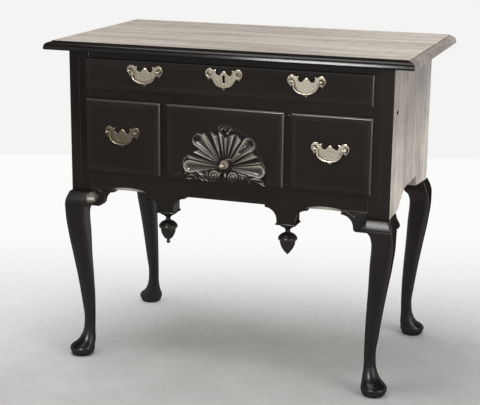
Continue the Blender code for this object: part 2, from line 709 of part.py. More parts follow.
# A bail post about the plate's face: from its ball head through plate and drawer front to the nut behind
def post_profile():
    seat = PLATE + GAP + FRONT_INNER - FACE + GAP
    head = arc((0.0, HEAD_STANDOFF), (HEAD_RADIUS, HEAD_RADIUS), 90, -45, 4)
    profile = [(0.0, head[0][1])] + head[1:]
    profile += [(0.6 * HEAD_RADIUS, 0.35 * HEAD_STANDOFF), (0.85 * HEAD_RADIUS, 0.15 * HEAD_STANDOFF)]
    profile += [(0.85 * HEAD_RADIUS, -PLATE / 2), (SHANK_RADIUS, -PLATE / 2), (SHANK_RADIUS, -seat)]
    profile += [(NUT_RADIUS, -seat), (NUT_RADIUS, -seat - NUT_HEIGHT), (0.0, -seat - NUT_HEIGHT)]
    return profile


def build_handle_plate(name, slide, front, x, z):
    plate = build_plate(name, slide, x, z, [])
    face = FACE - GAP - PLATE
    for side in (-1, 1):
        post_x = x + side * POST_SPACING / 2
        post_name = f"{name}_post_{side}"
        post = add_cutter(post_name, turned_mesh(post_name, post_profile()), (post_x, face, z), ON_FRONT)
        turn_round(post, 10)
        boolean(plate, post, "UNION")
        bore(front, f"{post_name}_bore", post_x, z, SHANK_RADIUS)
    eye_name = f"{name}_eyes"
    eye_mesh = rod_mesh(eye_name, BAIL_ROD + GAP, 2 * POST_SPACING, 8)
    eyes = add_cutter(eye_name, eye_mesh, (x, face - HEAD_STANDOFF, z), (0.0, math.pi / 2, 0.0))
    boolean(plate, eyes, "DIFFERENCE")


def bail_points():
    reach = POST_SPACING / 2 - HEAD_RADIUS - BAIL_ROD - BAIL_CLEARANCE
    elbow = BAIL_ROD
    neck = BAIL_DROP / 3
    half = [(POST_SPACING / 2 + HEAD_RADIUS / 2, 0.0)]
    half += arc((reach + elbow, -elbow), (elbow, elbow), 90, 180, 2)
    half += arc((0.0, -neck), (reach, BAIL_DROP - neck), 0, -90, 7)
    return half + [(-x, z) for x, z in reversed(half[:-1])]


# A bail turns about its own origin, which is on the line through the two post eyes
def build_bail(name, slide, x, z):
    curve = bpy.data.curves.new(name, "CURVE")
    curve.dimensions = "3D"
    curve.bevel_depth = BAIL_ROD
    curve.bevel_resolution = 1
    curve.use_fill_caps = True
    points = bail_points()
    spline = curve.splines.new("POLY")
    spline.points.add(len(points) - 1)
    for point, (across, up) in zip(spline.points, points):
        point.co = (across, 0.0, up, 1.0)
    carry(slide, add(name, curve, "brass", (x, FACE - GAP - PLATE - HEAD_STANDOFF, z)))


def build_handle(name, slide, front, x, z):
    build_handle_plate(f"{name}_plate", slide, front, x, z)
    build_bail(f"{name}_bail", slide, x, z)


def build_escutcheon(slide, front, z):
    plate = build_plate("escutcheon", slide, 0.0, z, [keyhole_outline()])
    head = z - KEYHOLE_DROP
    depth = FRONT_INNER - FACE
    bore(front, "keyhole_head", 0.0, head, KEYHOLE_HEAD)
    slot_low = (-KEYHOLE_SLOT / 2, FACE - depth, head - KEYHOLE_LENGTH)
    slot_high = (KEYHOLE_SLOT / 2, FRONT_INNER + depth, head)
    boolean(front, box_cutter("keyhole_slot", slot_low, slot_high), "DIFFERENCE")
    for side in (-1, 1):
        x = side * POST_SPACING / 2
        pin_name = f"escutcheon_pin_{side}"
        profile = [(0.0, PIN_HEAD / 2), (0.6 * PIN_HEAD, 0.4 * PIN_HEAD), (PIN_HEAD, 0.0)]
        profile += [(PIN_HEAD, -PLATE / 2), (PIN_RADIUS, -PLATE / 2)]
        profile += [(PIN_RADIUS, -PIN_LENGTH), (0.0, -PIN_LENGTH)]
        pin = add_cutter(pin_name, turned_mesh(pin_name, profile), (x, FACE - GAP - PLATE, z), ON_FRONT)
        turn_round(pin, 8)
        boolean(plate, pin, "UNION")
        bore(front, f"{pin_name}_bore", x, z, PIN_RADIUS)


def build_lock(slide):
    bolt_low, bolt_high = bolt_span()
    low = (-LOCK_WIDTH / 2, FRONT_INNER + GAP, LOCK_BOTTOM)
    lock = box("lock_case", low, (LOCK_WIDTH / 2, FRONT_INNER + LOCK_DEPTH, LOCK_TOP), "iron")
    slack = Vector((BOLT_PLAY, BOLT_PLAY, BOLT_PLAY))
    pocket_high = bolt_high + slack + Vector((0.0, 0.0, BOLT_THROW))
    boolean(lock, box_cutter("bolt_pocket", bolt_low - slack, pocket_high), "DIFFERENCE")
    carry(slide, lock)
    carry(slide, box("lock_bolt", bolt_low, bolt_high, "iron"))


def shell_radius(angle):
    lobe = max(0.0, math.cos(2 * math.pi * (angle - math.pi / 2) / LOBE_ANGLE))
    return SHELL_VALLEY + SHELL_LOBE * lobe


def shell_height(angle, share):
    ray = math.cos(6 * math.pi * (angle - math.pi / 2) / LOBE_ANGLE)
    swell = math.sin(math.pi * min(1.0, 0.25 + 0.75 * share))
    return SHELL_RELIEF * (0.30 + 0.42 * swell + 0.22 * ray * share)


# The shell's fan: rays that swell and then fall to their tips, on a floor sunk just below the niche's
def fan_mesh(name):
    half_turn = 2.3 * LOBE_ANGLE
    steps = 56
    shares = (SHELL_HUB / SHELL_VALLEY, 0.45, 0.75, 0.94, 1.0)
    sunk = NICHE_FLOOR + SHELL_RELIEF / 4
    bm = bmesh.new()
    floor_hub = bm.verts.new((0.0, sunk, SHELL_CENTRE))
    top_hub = bm.verts.new((0.0, NICHE_FLOOR - SHELL_RELIEF / 2, SHELL_CENTRE))
    columns = []
    for i in range(steps + 1):
        angle = math.pi / 2 + half_turn * (2 * i / steps - 1)
        reach = shell_radius(angle)
        column = [top_hub]
        for share in shares:
            x = reach * share * math.cos(angle)
            z = SHELL_CENTRE + reach * share * math.sin(angle)
            height = 0.1 * SHELL_RELIEF if share == 1.0 else shell_height(angle, share)
            column.append(bm.verts.new((x, NICHE_FLOOR - height, z)))
        column.append(bm.verts.new((column[-1].co.x, sunk, column[-1].co.z)))
        column.append(floor_hub)
        columns.append(column)
    for left, right in zip(columns, columns[1:]):
        bm.faces.new((left[0], left[1], right[1]))
        bm.faces.new((left[-1], right[-2], left[-2]))
        for k in range(1, len(left) - 2):
            bm.faces.new((left[k], left[k + 1], right[k + 1], right[k]))
    bm.faces.new(columns[0])
    bm.faces.new(columns[-1])
    return mesh_from(bm, name)


def carve_shell(front):
    sill = LOWER_BOTTOM + NICHE_SILL
    arch = arc((0.0, SHELL_CENTRE), (NICHE_RADIUS, NICHE_RADIUS), 0, 180, 24)
    outline = [(NICHE_RADIUS, sill)] + arch + [(-NICHE_RADIUS, sill)]
    niche = add_cutter("niche", flat_mesh("niche", [outline], 2 * NICHE_DEPTH), (0.0, FACE, 0.0), ON_FRONT)
    boolean(front, niche, "DIFFERENCE")
    boolean(front, add_cutter("shell_fan", fan_mesh("shell_fan")), "UNION")
    band_half = NICHE_RADIUS - BAND_MARGIN
    band_low = sill + NICHE_SILL
    low = (-band_half, NICHE_FLOOR - 0.6 * SHELL_RELIEF, band_low)
    high = (band_half, NICHE_FLOOR + 0.4 * SHELL_RELIEF, band_low + BAND_HEIGHT)
    boolean(front, box_cutter("shell_band", low, high), "UNION")
    for side in (-1, 1):
        name = f"shell_volute_{side}"
        place = (side * VOLUTE_SPACING / 2, NICHE_FLOOR - SHELL_RELIEF / 4, band_low + BAND_HEIGHT / 2)
        volute = add_cutter(name, rod_mesh(name, VOLUTE_RADIUS, 1.3 * SHELL_RELIEF), place, ON_FRONT)
        boolean(front, volute, "UNION")


def build_knob(slide, front):
    base = 0.55 * KNOB_RADIUS
    neck = 0.42 * KNOB_RADIUS
    seat = NICHE_FLOOR - SHELL_RELIEF
    through = FRONT_INNER - seat + GAP
    head = arc((0.0, KNOB_REACH), (KNOB_RADIUS, KNOB_RADIUS), 90, -55, 6)
    profile = [(0.0, head[0][1])] + head[1:]
    profile += [(neck, 0.35 * KNOB_REACH), (base, 0.1 * KNOB_REACH), (base, GAP), (SHANK_RADIUS, GAP)]
    profile += [(SHANK_RADIUS, -through), (NUT_RADIUS, -through)]
    profile += [(NUT_RADIUS, -through - NUT_HEIGHT), (0.0, -through - NUT_HEIGHT)]
    bore(front, "knob_bore", 0.0, SHELL_CENTRE, SHANK_RADIUS)
    knob = add("shell_knob", turned_mesh("shell_knob", profile), "brass", (0.0, seat, SHELL_CENTRE), ON_FRONT)
    turn_round(knob, 12)
    carry(slide, knob)


def build_drawers():
    slide, front = build_drawer("long_drawer", -HALF_FRONT, HALF_FRONT, LONG_BOTTOM, LONG_TOP)
    long_middle = (LONG_BOTTOM + LONG_TOP) / 2
    x = LONG_HANDLE_SPACING / 2
    build_handle("long_left", slide, front, -x, long_middle + HANDLE_RAISE)
    build_handle("long_right", slide, front, x, long_middle + HANDLE_RAISE)
    build_escutcheon(slide, front, long_middle + ESCUTCHEON_RAISE)
    build_lock(slide)
    x = (MUNTIN_OUT + HALF_FRONT) / 2
    z = (LOWER_BOTTOM + LOWER_TOP) / 2 + HANDLE_RAISE
    slide, front = build_drawer("left_drawer", -HALF_FRONT, -MUNTIN_OUT, LOWER_BOTTOM, LOWER_TOP)
    build_handle("left", slide, front, -x, z)
    slide, front = build_drawer("right_drawer", MUNTIN_OUT, HALF_FRONT, LOWER_BOTTOM, LOWER_TOP)
    build_handle("right", slide, front, x, z)
    slide, front = build_drawer("centre_drawer", -MUNTIN_IN, MUNTIN_IN, LOWER_BOTTOM, LOWER_TOP)
    carve_shell(front)
    build_knob(slide, front)


build_top()
build_sides_and_back()
build_front_frame()
build_apron()
build_drop("left_drop", -1, True)
build_drop("right_drop", 1, False)
build_front_brackets()
build_side_bracket("left_side_bracket", -1)
build_side_bracket("right_side_bracket", 1)
build_leg("front_left_leg", -1, False)
build_leg("front_right_leg", 1, False)
build_leg("rear_left_leg", -1, True)
build_leg("rear_right_leg", 1, True)
build_runners()
build_drawers()
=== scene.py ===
import math

import bmesh
import bpy
import numpy as np
from mathutils import Matrix, Vector


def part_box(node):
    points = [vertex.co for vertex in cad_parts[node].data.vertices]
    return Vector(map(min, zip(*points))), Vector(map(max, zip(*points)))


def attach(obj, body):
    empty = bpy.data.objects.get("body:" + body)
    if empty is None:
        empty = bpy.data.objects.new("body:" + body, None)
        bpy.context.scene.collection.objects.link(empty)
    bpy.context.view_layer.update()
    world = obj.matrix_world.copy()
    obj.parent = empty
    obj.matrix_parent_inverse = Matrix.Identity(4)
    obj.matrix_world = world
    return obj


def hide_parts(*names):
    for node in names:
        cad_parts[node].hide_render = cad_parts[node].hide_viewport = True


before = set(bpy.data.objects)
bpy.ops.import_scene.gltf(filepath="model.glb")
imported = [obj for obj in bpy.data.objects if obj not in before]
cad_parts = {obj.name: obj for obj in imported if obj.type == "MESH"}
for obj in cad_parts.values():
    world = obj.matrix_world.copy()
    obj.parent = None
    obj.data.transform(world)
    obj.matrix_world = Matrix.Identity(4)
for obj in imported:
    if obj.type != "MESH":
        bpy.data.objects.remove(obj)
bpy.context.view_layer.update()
print("frame loaded:", len(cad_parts), "nodes")

# Planes that several pieces share, read from the frame
topLow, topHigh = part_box("top_board")
stileLow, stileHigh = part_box("right_stile")
frontY = stileLow.y
caseX = stileHigh.x
underTop = stileHigh.z
ledgeHeight = 0.407  # the flat ledge on top of each knee, above the floor
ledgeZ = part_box("front_left_leg")[0].z + ledgeHeight
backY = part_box("back_board")[1].y
bothSides = (("left", -1), ("right", 1))
gap = 0.0003  # left between pieces that fit together
crisp = 32  # degrees; an edge that turns more than this is shaded sharp
square = 0.995  # a normal with a part above this looks along an axis


def askew(normal):
    return max(abs(value) for value in normal) < square


def hexLinear(code):
    values = [int(code[i:i + 2], 16) / 255 for i in (1, 3, 5)]
    return tuple(v / 12.92 if v <= 0.04045 else ((v + 0.055) / 1.055) ** 2.4 for v in values) + (1.0,)


# Gives a node's inputs their values, or links them to other nodes
def feed(tree, node, values):
    for key, value in values.items():
        if isinstance(value, bpy.types.NodeSocket):
            tree.links.new(value, node.inputs[key])
        else:
            node.inputs[key].default_value = value


# Shader and math nodes go by their short names, the others by their full ones
def addNode(tree, kind, settings, values):
    node = tree.nodes.new(kind if "Node" in kind else f"ShaderNode{kind}")
    for key, value in settings.items():
        setattr(node, key, value)
    feed(tree, node, values)
    return node


def maths(tree, operation, *values):
    return addNode(tree, "Math", {"operation": operation}, dict(enumerate(values))).outputs[0]


def noise(tree, vector, grainMm, detail, rough, distortion=0.0):
    return addNode(tree, "TexNoise", {}, {"Vector": vector, "Scale": 1000 / grainMm, "Detail": detail,
                                          "Roughness": rough, "Distortion": distortion}).outputs["Fac"]


# A value's run from low to high, spread from start to end
def ranged(tree, value, low, high, start=0.0, end=1.0, kind="LINEAR"):
    return addNode(tree, "MapRange", {"interpolation_type": kind},
                   {"Value": value, "From Min": low, "From Max": high, "To Min": start,
                    "To Max": end}).outputs[0]


# Two colours mixed by a share, each of them a code or what another node gives
def mixed(tree, share, first, second, kind="MIX"):
    first, second = (hexLinear(tint) if isinstance(tint, str) else tint for tint in (first, second))
    return addNode(tree, "Mix", {"data_type": "RGBA", "blend_type": kind},
                   {0: share, 6: first, 7: second}).outputs[2]


bumpDepth = 0.0003  # how deep pores, rings and file marks go


def linked(name, data):
    made = bpy.data.objects.new(name, data)
    bpy.context.scene.collection.objects.link(made)
    return made


def newMaterial(name):
    material = bpy.data.materials.new(name)
    material.use_nodes = True
    return material, material.node_tree, material.node_tree.nodes["Principled BSDF"]


# Walnut, sawn and planed: contour lines of a stretched noise give flat-sawn growth rings,
# a finer one the open pores that lie as short dark dashes along the grain, and a broad one
# the patches where polish has built up or faded. Rubbed edges and painted highlights show the paler wood.
def makeWood(name, look):
    material, tree, shader = newMaterial(name)
    along = "xyz".index(look["grain"])
    coords = addNode(tree, "TexCoord", {}, {}).outputs["Object"]
    maps = []
    for stretch in (look["stretch"], look["poreStretch"]):
        scale = [1.0, 1.0, 1.0]
        scale[along] = 1 / stretch
        maps.append(addNode(tree, "Mapping", {}, {"Vector": coords, "Scale": scale}).outputs[0])
    ringMap, poreMap = maps
    figure = noise(tree, ringMap, look["figureMm"], 2.5, 0.45, 0.35)
    counted = maths(tree, "MULTIPLY", figure, look["figureMm"] / look["ringMm"])
    rings = maths(tree, "PINGPONG", counted, 1.0)
    pores = noise(tree, poreMap, look["poreMm"], 2.0, 0.6)
    poreMask = ranged(tree, pores, 0.55, 0.72)
    patches = noise(tree, ringMap, look["patchMm"], 4.0, 0.55, 0.5)
    ringed = mixed(tree, rings, look["early"], look["late"])
    patched = mixed(tree, ranged(tree, patches, 0.32, 0.72), ringed, look["patch"])
    poreShare = maths(tree, "MULTIPLY", poreMask, look["poreDepth"])
    colour = mixed(tree, poreShare, patched, look["pore"])
    if "bloom" in look:  # spots where the old finish has gone pale
        spotMm, spotColour, spotShare = look["bloom"]
        spots = noise(tree, coords, spotMm, 3.0, 0.6)
        colour = mixed(tree, ranged(tree, spots, 0.48, 0.66, 0.0, spotShare), colour, spotColour)
    # Rubbed wear and painted highlights both come in through one attribute and mix in the paler colour
    wear = addNode(tree, "Attribute", {"attribute_name": "wear"}, {}).outputs["Fac"]
    colour = mixed(tree, wear, colour, look["wearAndSheen"])
    if "shade" in look:  # painted shade: darker towards one end, where less light falls
        axis, low, high, share = look["shade"]
        level = addNode(tree, "SeparateXYZ", {}, {0: coords}).outputs[axis]
        colour = mixed(tree, ranged(tree, level, low, high, 0.0, share), colour, look["pore"])
    rough = maths(tree, "MULTIPLY_ADD", poreMask, 0.08, ranged(tree, patches, 0.3, 0.7, *look["rough"]))
    relief = maths(tree, "MULTIPLY_ADD", rings, 0.25, pores)
    bump = addNode(tree, "Bump", {}, {"Height": relief, "Strength": look["bump"], "Distance": bumpDepth})
    feed(tree, shader, {"Base Color": colour, "Roughness": rough, "Normal": bump.outputs[0], "IOR": 1.5,
                        "Specular IOR Level": look["specular"]})
    if "edgeGloss" in look:  # old varnish is crazed, so it mirrors little at a glance
        facing = addNode(tree, "LayerWeight", {}, {"Blend": 0.5}).outputs["Facing"]
        gloss = ranged(tree, facing, 0.25, 0.70, look["specular"], look["edgeGloss"])
        feed(tree, shader, {"Specular IOR Level": gloss})
    return material


# Front, legs and brackets: black-brown walnut under old varnish, so close to black that the grain
# only shows in the gloss. Grain upright on legs, along X on rails and drawer fronts.
darkLook = {"grain": "x", "stretch": 9, "figureMm": 110, "ringMm": 12, "patchMm": 130,
            "poreMm": 1.6, "poreStretch": 22, "poreDepth": 0.6,
            "early": "#302a27", "late": "#25211e", "patch": "#352e2a", "pore": "#1b1715",
            "wearAndSheen": "#aaa094", "rough": (0.16, 0.22), "bump": 0.04, "specular": 0.38, "edgeGloss": 0.0}
darkWalnut = makeWood("varnishedDarkWalnut", darkLook)
darkUpright = makeWood("varnishedDarkWalnutUpright", dict(darkLook, grain="z"))
# Centre drawer and apron: rubbed through to pale wood on the ridges of the carving; under the side arches the
# same pale colour is a painted reflection of the bright floor
carvedWalnut = makeWood("carvedDarkWalnut", dict(darkLook, wearAndSheen="#d6cdc0"))
# The top's front edge: painted shade, its moulding darker and less glossy than the dark walnut of the front
shadedEdgeWalnut = makeWood("mouldedDarkWalnut", dict(darkLook, early="#1f1b19", late="#181513", patch="#231f1c",
                                                specular=0.26))
# Legs, brackets and drops: the varnish here is rubbed by hands and dusters to a soft broad sheen. Painted
# shade darkens the legs towards the floor.
legLook = dict(darkLook, grain="z", early="#2a2522", late="#211d1b", patch="#2e2825", pore="#120f0e",
               rough=(0.27, 0.35), shade=("Z", 0.40, 0.10, 0.85))
legWalnut = makeWood("handRubbedDarkWalnut", legLook)
# The long drawer's upper edge: painted shadow, a matt finish that kills the gloss where the top board's
# overhang would shade it
mattShadowWalnut = makeWood("dustyDarkWalnut", dict(darkLook, rough=(0.55, 0.68), specular=0.2))
# Sides and top: the same walnut bleached by daylight to a dry pale brown with plain dark streaks
fadedLook = {"grain": "z", "stretch": 16, "figureMm": 80, "ringMm": 6.5, "patchMm": 130,
             "poreMm": 1.7, "poreStretch": 22, "poreDepth": 0.75,
             "early": "#c4bbb1", "late": "#80776d", "patch": "#cdc4b9", "pore": "#4c443d",
             "wearAndSheen": "#c9bfb3", "rough": (0.38, 0.55), "bump": 0.25, "specular": 0.35}
# The sides carry painted shade: darker towards the top, as in the shadow under the top board's overhang
sideLook = dict(fadedLook, ringMm=9, figureMm=110, early="#e6ddd2", late="#70675e", patch="#bfb6ab",
                poreDepth=1.0, bloom=(120, "#f4ecdf", 0.40), shade=("Z", 0.54, 0.63, 0.44))
fadedWalnut = makeWood("sunFadedWalnut", sideLook)
# Inside the nail hole: near-black wood, matt
darkHoleLook = dict(fadedLook, early="#1d1a18", late="#141211", patch="#1a1716", pore="#0e0c0b",
                   wearAndSheen="#1d1a18", rough=(0.7, 0.85), specular=0.1)
darkHoleWalnut = makeWood("ironStainedWalnut", darkHoleLook)
# The top: paler and smoother than the sides; painted shade makes it a little darker towards its left end,
# where less light falls
topLook = dict(fadedLook, grain="x", early="#cfc7bd", late="#8f867c", patch="#d6cec4", poreDepth=0.9,
               shade=("X", 0.38, -0.02, 0.26), rough=(0.42, 0.58), bump=0.12, edgeGloss=0.0)
topWalnut = makeWood("sunFadedWalnutTop", topLook)
# Drawer linings, back and runners: pine planed by hand and never polished, wide soft rings
pineLook = {"grain": "y", "stretch": 14, "figureMm": 120, "ringMm": 16, "patchMm": 130,
            "poreMm": 2.2, "poreStretch": 22, "poreDepth": 0.25,
            "early": "#b6a58c", "late": "#98856b", "patch": "#a8967b", "pore": "#75644e",
            "wearAndSheen": "#c2b39c", "rough": (0.62, 0.80), "bump": 0.35, "specular": 0.3}
planedPine = makeWood("handPlanedPine", pineLook)
planedPineAcross = makeWood("handPlanedPineAcross", dict(pineLook, grain="x"))
# Stringing: thin holly lines stained by the varnish over them to a dull tan
stringLook = dict(darkLook, early="#4b433d", late="#3f3832", patch="#473f39", pore="#2e2824", poreDepth=0.4)
stringing = makeWood("varnishedHollyStringing", stringLook)
# Feather banding: slips of walnut a shade paler than the field, just enough to catch the eye
featherLook = dict(darkLook, early="#38312d", late="#2b2622", patch="#352e2a")
featherWood = makeWood("varnishedWalnutFeather", featherLook)


# Brass, cast, filed and worn by hands: soft broad gloss, brown tarnish in patches, fine file marks
def makeMetal(name, look):
    material, tree, shader = newMaterial(name)
    coords = addNode(tree, "TexCoord", {}, {}).outputs["Object"]
    patches = noise(tree, coords, look["patchMm"], 5.0, 0.6, 0.4)
    grit = noise(tree, coords, look["gritMm"], 3.0, 0.6)
    colour = mixed(tree, ranged(tree, patches, 0.36, 0.70), look["bright"], look["tarnish"])
    rough = ranged(tree, patches, 0.3, 0.7, *look["rough"])
    relief = maths(tree, "MULTIPLY_ADD", patches, 2.0, grit)
    bump = addNode(tree, "Bump", {}, {"Height": relief, "Strength": look["bump"], "Distance": bumpDepth})
    feed(tree, shader, {"Base Color": colour, "Roughness": rough, "Normal": bump.outputs[0], "Metallic": 1.0})
    return material


brassLook = {"bright": "#cac1af", "tarnish": "#857c6a", "patchMm": 8, "gritMm": 0.8,
             "rough": (0.24, 0.42), "bump": 0.26}
castBrass = makeMetal("wornCastBrass", brassLook)
# Painted light: each handle has its own copy of the brass, the right ones painted lighter where the light
# falls, the lower left one painted darker in shade
litBrass = makeMetal("brightCastBrass", dict(brassLook, bright="#d3cbba", tarnish="#948b79"))
brightLitBrass = makeMetal("polishedCastBrass", dict(brassLook, bright="#e4dccb", tarnish="#b5ac9a"))
shadedDullBrass = makeMetal("dullCastBrass", dict(brassLook, bright="#9f9684", tarnish="#5b5244"))
brasses = {"longLeft": castBrass, "longRight": litBrass, "left": shadedDullBrass, "right": brightLitBrass}
# The rosettes and engraved borders, where polish and dirt have gathered
tarnishedBrass = makeMetal("tarnishedCastBrass", {"bright": "#5c5342", "tarnish": "#37312a", "patchMm": 4,
                                                  "gritMm": 0.6, "rough": (0.40, 0.60), "bump": 0.3})
# Lock and nails: forged iron under a dull brown-grey skin
forgedIron = makeMetal("forgedIron", {"bright": "#57534e", "tarnish": "#37332f", "patchMm": 7, "gritMm": 0.7,
                                      "rough": (0.45, 0.65), "bump": 0.5})
print("materials made")


# Rounded faces shade smooth; wide faces square to the frame stay flat, so no shading bleeds over them
def shade(mesh, sharp=crisp):
    mesh.shade_smooth()
    mesh.set_sharp_from_angle(angle=math.radians(sharp))
    for polygon in mesh.polygons:
        if max(abs(value) for value in polygon.normal) > 0.99999:
            spots = [mesh.vertices[i].co for i in polygon.vertices]
            if max((a - b).length for a, b in zip(spots, spots[1:] + spots[:1])) > 0.008:
                polygon.use_smooth = False
    return mesh


def meshFrom(bm, name, sharp=crisp):
    bmesh.ops.remove_doubles(bm, verts=bm.verts, dist=0.000002)
    bmesh.ops.recalc_face_normals(bm, faces=bm.faces)
    mesh = bpy.data.meshes.new(name)
    bm.to_mesh(mesh)
    bm.free()
    return shade(mesh, sharp)


def place(name, mesh, finishes, body, stands=()):
    piece = linked(name, mesh)
    if finishes:
        mesh.materials.clear()
        for finish in finishes:
            mesh.materials.append(finish)
    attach(piece, body)
    if stands:
        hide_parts(*stands)
    return piece


def placeBoard(name, box, arris, finish, body, node):
    place(name, boardMesh(name, *box, arris), [finish], body, [node])


# A finish chosen face by face: rule gets the face's normal and middle and gives a slot number
def paintFaces(mesh, rule):
    for polygon in mesh.polygons:
        polygon.material_index = rule(polygon.normal, polygon.center)


# Rubbed edges and painted highlights: faces that lie askew, such as arrises and lips, show the paler wood
# under the varnish; a rule given instead picks the faces, for painted highlights as well as wear
def rubAndSheen(mesh, amount, rule=None):
    carved = mesh.attributes.get("carved")
    values = []
    for polygon in mesh.polygons:
        paleShare = rule(polygon.normal, polygon.center) if rule else askew(polygon.normal)
        for index in polygon.vertices:
            depth = carved.data[index].value if carved else 0.0
            values.append(depth if depth > 0.0 else amount * float(paleShare))
    mesh.attributes.new("wear", "FLOAT", "CORNER").data.foreach_set("value", values)
    return mesh


def addLoft(bm, rings, capped=True):
    loops = [[bm.verts.new(point) for point in ring] for ring in rings]
    for lower, upper in zip(loops, loops[1:]):
        for i, corner in enumerate(lower):
            j = (i + 1) % len(lower)
            bm.faces.new((corner, lower[j], upper[j], upper[i]))
    if capped:
        bm.faces.new(loops[0])
        bm.faces.new(loops[-1])
    return loops


# A sawn board with its arrises eased
def addBoard(bm, low, high, arris):
    size = Vector(high) - Vector(low)
    middle = (Vector(high) + Vector(low)) / 2
    stand = Matrix.Translation(middle) @ Matrix.Diagonal((*size, 1.0))
    made = bmesh.ops.create_cube(bm, size=1.0, matrix=stand)
    edges = list({edge for vert in made["verts"] for edge in vert.link_edges})
    bmesh.ops.bevel(bm, geom=edges, offset=arris, segments=2, profile=0.5, affect="EDGES")


def boardMesh(name, low, high, arris):
    bm = bmesh.new()
    addBoard(bm, low, high, arris)
    return meshFrom(bm, name)


def loftMesh(name, rings, sharp=crisp):
    bm = bmesh.new()
    addLoft(bm, rings)
    return meshFrom(bm, name, sharp)


# A profile of radii and heights turned on the lathe
def turnedMesh(name, profile, steps, matrix, sharp=crisp):
    rings = []
    for radius, height in profile:
        ring = []
        for i in range(steps):
            angle = 2 * math.pi * i / steps
            ring.append(matrix @ Vector((radius * math.cos(angle), radius * math.sin(angle), height)))
        rings.append(ring)
    return loftMesh(name, rings, sharp)


def arc(centre, radii, start, end, steps):
    points = []
    for i in range(steps + 1):
        angle = math.radians(start + (end - start) * i / steps)
        points.append((centre[0] + radii[0] * math.cos(angle), centre[1] + radii[1] * math.sin(angle)))
    return points


def oval(centre, radii, points):
    return arc(centre, radii, 0, 360 - 360 / points, points - 1)


def mirrored(outline):
    return [(-x, z) for x, z in reversed(outline)]


def evaluated(obj):
    bpy.context.view_layer.update()
    mesh = bpy.data.meshes.new_from_object(obj.evaluated_get(bpy.context.evaluated_depsgraph_get()))
    bpy.data.objects.remove(obj, do_unlink=True)
    return mesh


# Drawn as (x, z) with the thickness to the front, and as (y, z) with the thickness to the right
onFront = Matrix(((1, 0, 0, 0), (0, 0, -1, 0), (0, 1, 0, 0), (0, 0, 0, 1)))
onSide = Matrix(((0, 0, 1, 0), (1, 0, 0, 0), (0, 1, 0, 0), (0, 0, 0, 1)))


# A shape sawn from a board: outlines filled, thickened and eased all round, then stood in its place
def sawn(name, outlines, thickness, arris, matrix):
    curve = bpy.data.curves.new(name, "CURVE")
    curve.dimensions = "2D"
    curve.fill_mode = "BOTH"
    curve.extrude = thickness / 2 - arris
    curve.bevel_depth = arris
    curve.bevel_resolution = 1
    curve.offset = -arris
    for outline in outlines:
        spline = curve.splines.new("POLY")
        spline.points.add(len(outline) - 1)
        for point, (across, up) in zip(spline.points, outline):
            point.co = (across, up, 0.0, 1.0)
        spline.use_cyclic_u = True
    flat = evaluated(linked(name, curve))
    flat.transform(matrix)
    bm = bmesh.new()
    bm.from_mesh(flat)
    bpy.data.meshes.remove(flat)
    return meshFrom(bm, name)


def cutAway(mesh, cutter):
    body, tool = linked(mesh.name, mesh), linked("tool", cutter)
    step = body.modifiers.new("cut", "BOOLEAN")
    step.operation = "DIFFERENCE"
    step.object = tool
    result = evaluated(body)
    bpy.data.objects.remove(tool, do_unlink=True)
    return shade(result)


def joined(name, meshes, sharp=crisp):
    bm = bmesh.new()
    for mesh in meshes:
        bm.from_mesh(mesh)
    mesh = bpy.data.meshes.new(name)
    bm.to_mesh(mesh)
    bm.free()
    return shade(mesh, sharp)


def newTree(name, sockets):
    tree = bpy.data.node_groups.new(name, "GeometryNodeTree")
    tree.interface.new_socket("Geometry", in_out="INPUT", socket_type="NodeSocketGeometry")
    for label, kind in sockets.items():
        tree.interface.new_socket(label, in_out="INPUT", socket_type=kind)
    tree.interface.new_socket("Geometry", in_out="OUTPUT", socket_type="NodeSocketGeometry")
    return tree, addNode(tree, "NodeGroupInput", {}, {}).outputs


def geo(tree, kind, values, **settings):
    return addNode(tree, f"GeometryNode{kind}", settings, values).outputs[0]


def endTree(tree, geometry, finish):
    realised = geo(tree, "RealizeInstances", {"Geometry": geometry})
    painted = geo(tree, "SetMaterial", {"Geometry": realised, "Material": finish})
    addNode(tree, "NodeGroupOutput", {}, {"Geometry": painted})


# Stands what was drawn flat up on the front
def stoodUp(tree, geometry, stand):
    return geo(tree, "Transform", {"Geometry": geometry, "Translation": stand,
                                   "Rotation": (math.pi / 2, 0.0, 0.0)})


# A round bar along a path
def sweep(tree, path, sides, radius):
    section = geo(tree, "CurvePrimitiveCircle", {"Resolution": sides, "Radius": 1.0})
    return geo(tree, "CurveToMesh", {"Curve": path, "Profile Curve": section, "Fill Caps": True,
                                     "Scale": radius})


# Runs a tree on a few points or edges and gives the plain mesh it makes
def grown(name, tree, points, edges, inputs):
    source = bpy.data.meshes.new(name)
    source.from_pydata(points, edges, [])
    carrier = linked(name, source)
    step = carrier.modifiers.new("grow", "NODES")
    step.node_group = tree
    for item in tree.interface.items_tree:
        if item.item_type == "SOCKET" and item.in_out == "INPUT" and item.name in inputs:
            step[item.identifier] = inputs[item.name]
    return shade(evaluated(carrier))


# Inlay line: a strip of wood let in along a path drawn flat, stood up on the front
def makeInlayTree():
    tree, given = newTree("inlayLine", {"Width": "NodeSocketFloat", "Depth": "NodeSocketFloat",
                                        "Stand": "NodeSocketVector", "Finish": "NodeSocketMaterial"})
    path = geo(tree, "MeshToCurve", {"Mesh": given["Geometry"]})
    section = geo(tree, "CurvePrimitiveQuadrilateral", {"Width": given["Width"], "Height": given["Depth"]})
    upright = geo(tree, "SetCurveNormal", {"Curve": path}, mode="Z_UP")
    strip = geo(tree, "CurveToMesh", {"Curve": upright, "Profile Curve": section, "Fill Caps": True})
    endTree(tree, stoodUp(tree, strip, given["Stand"]), given["Finish"])
    return tree


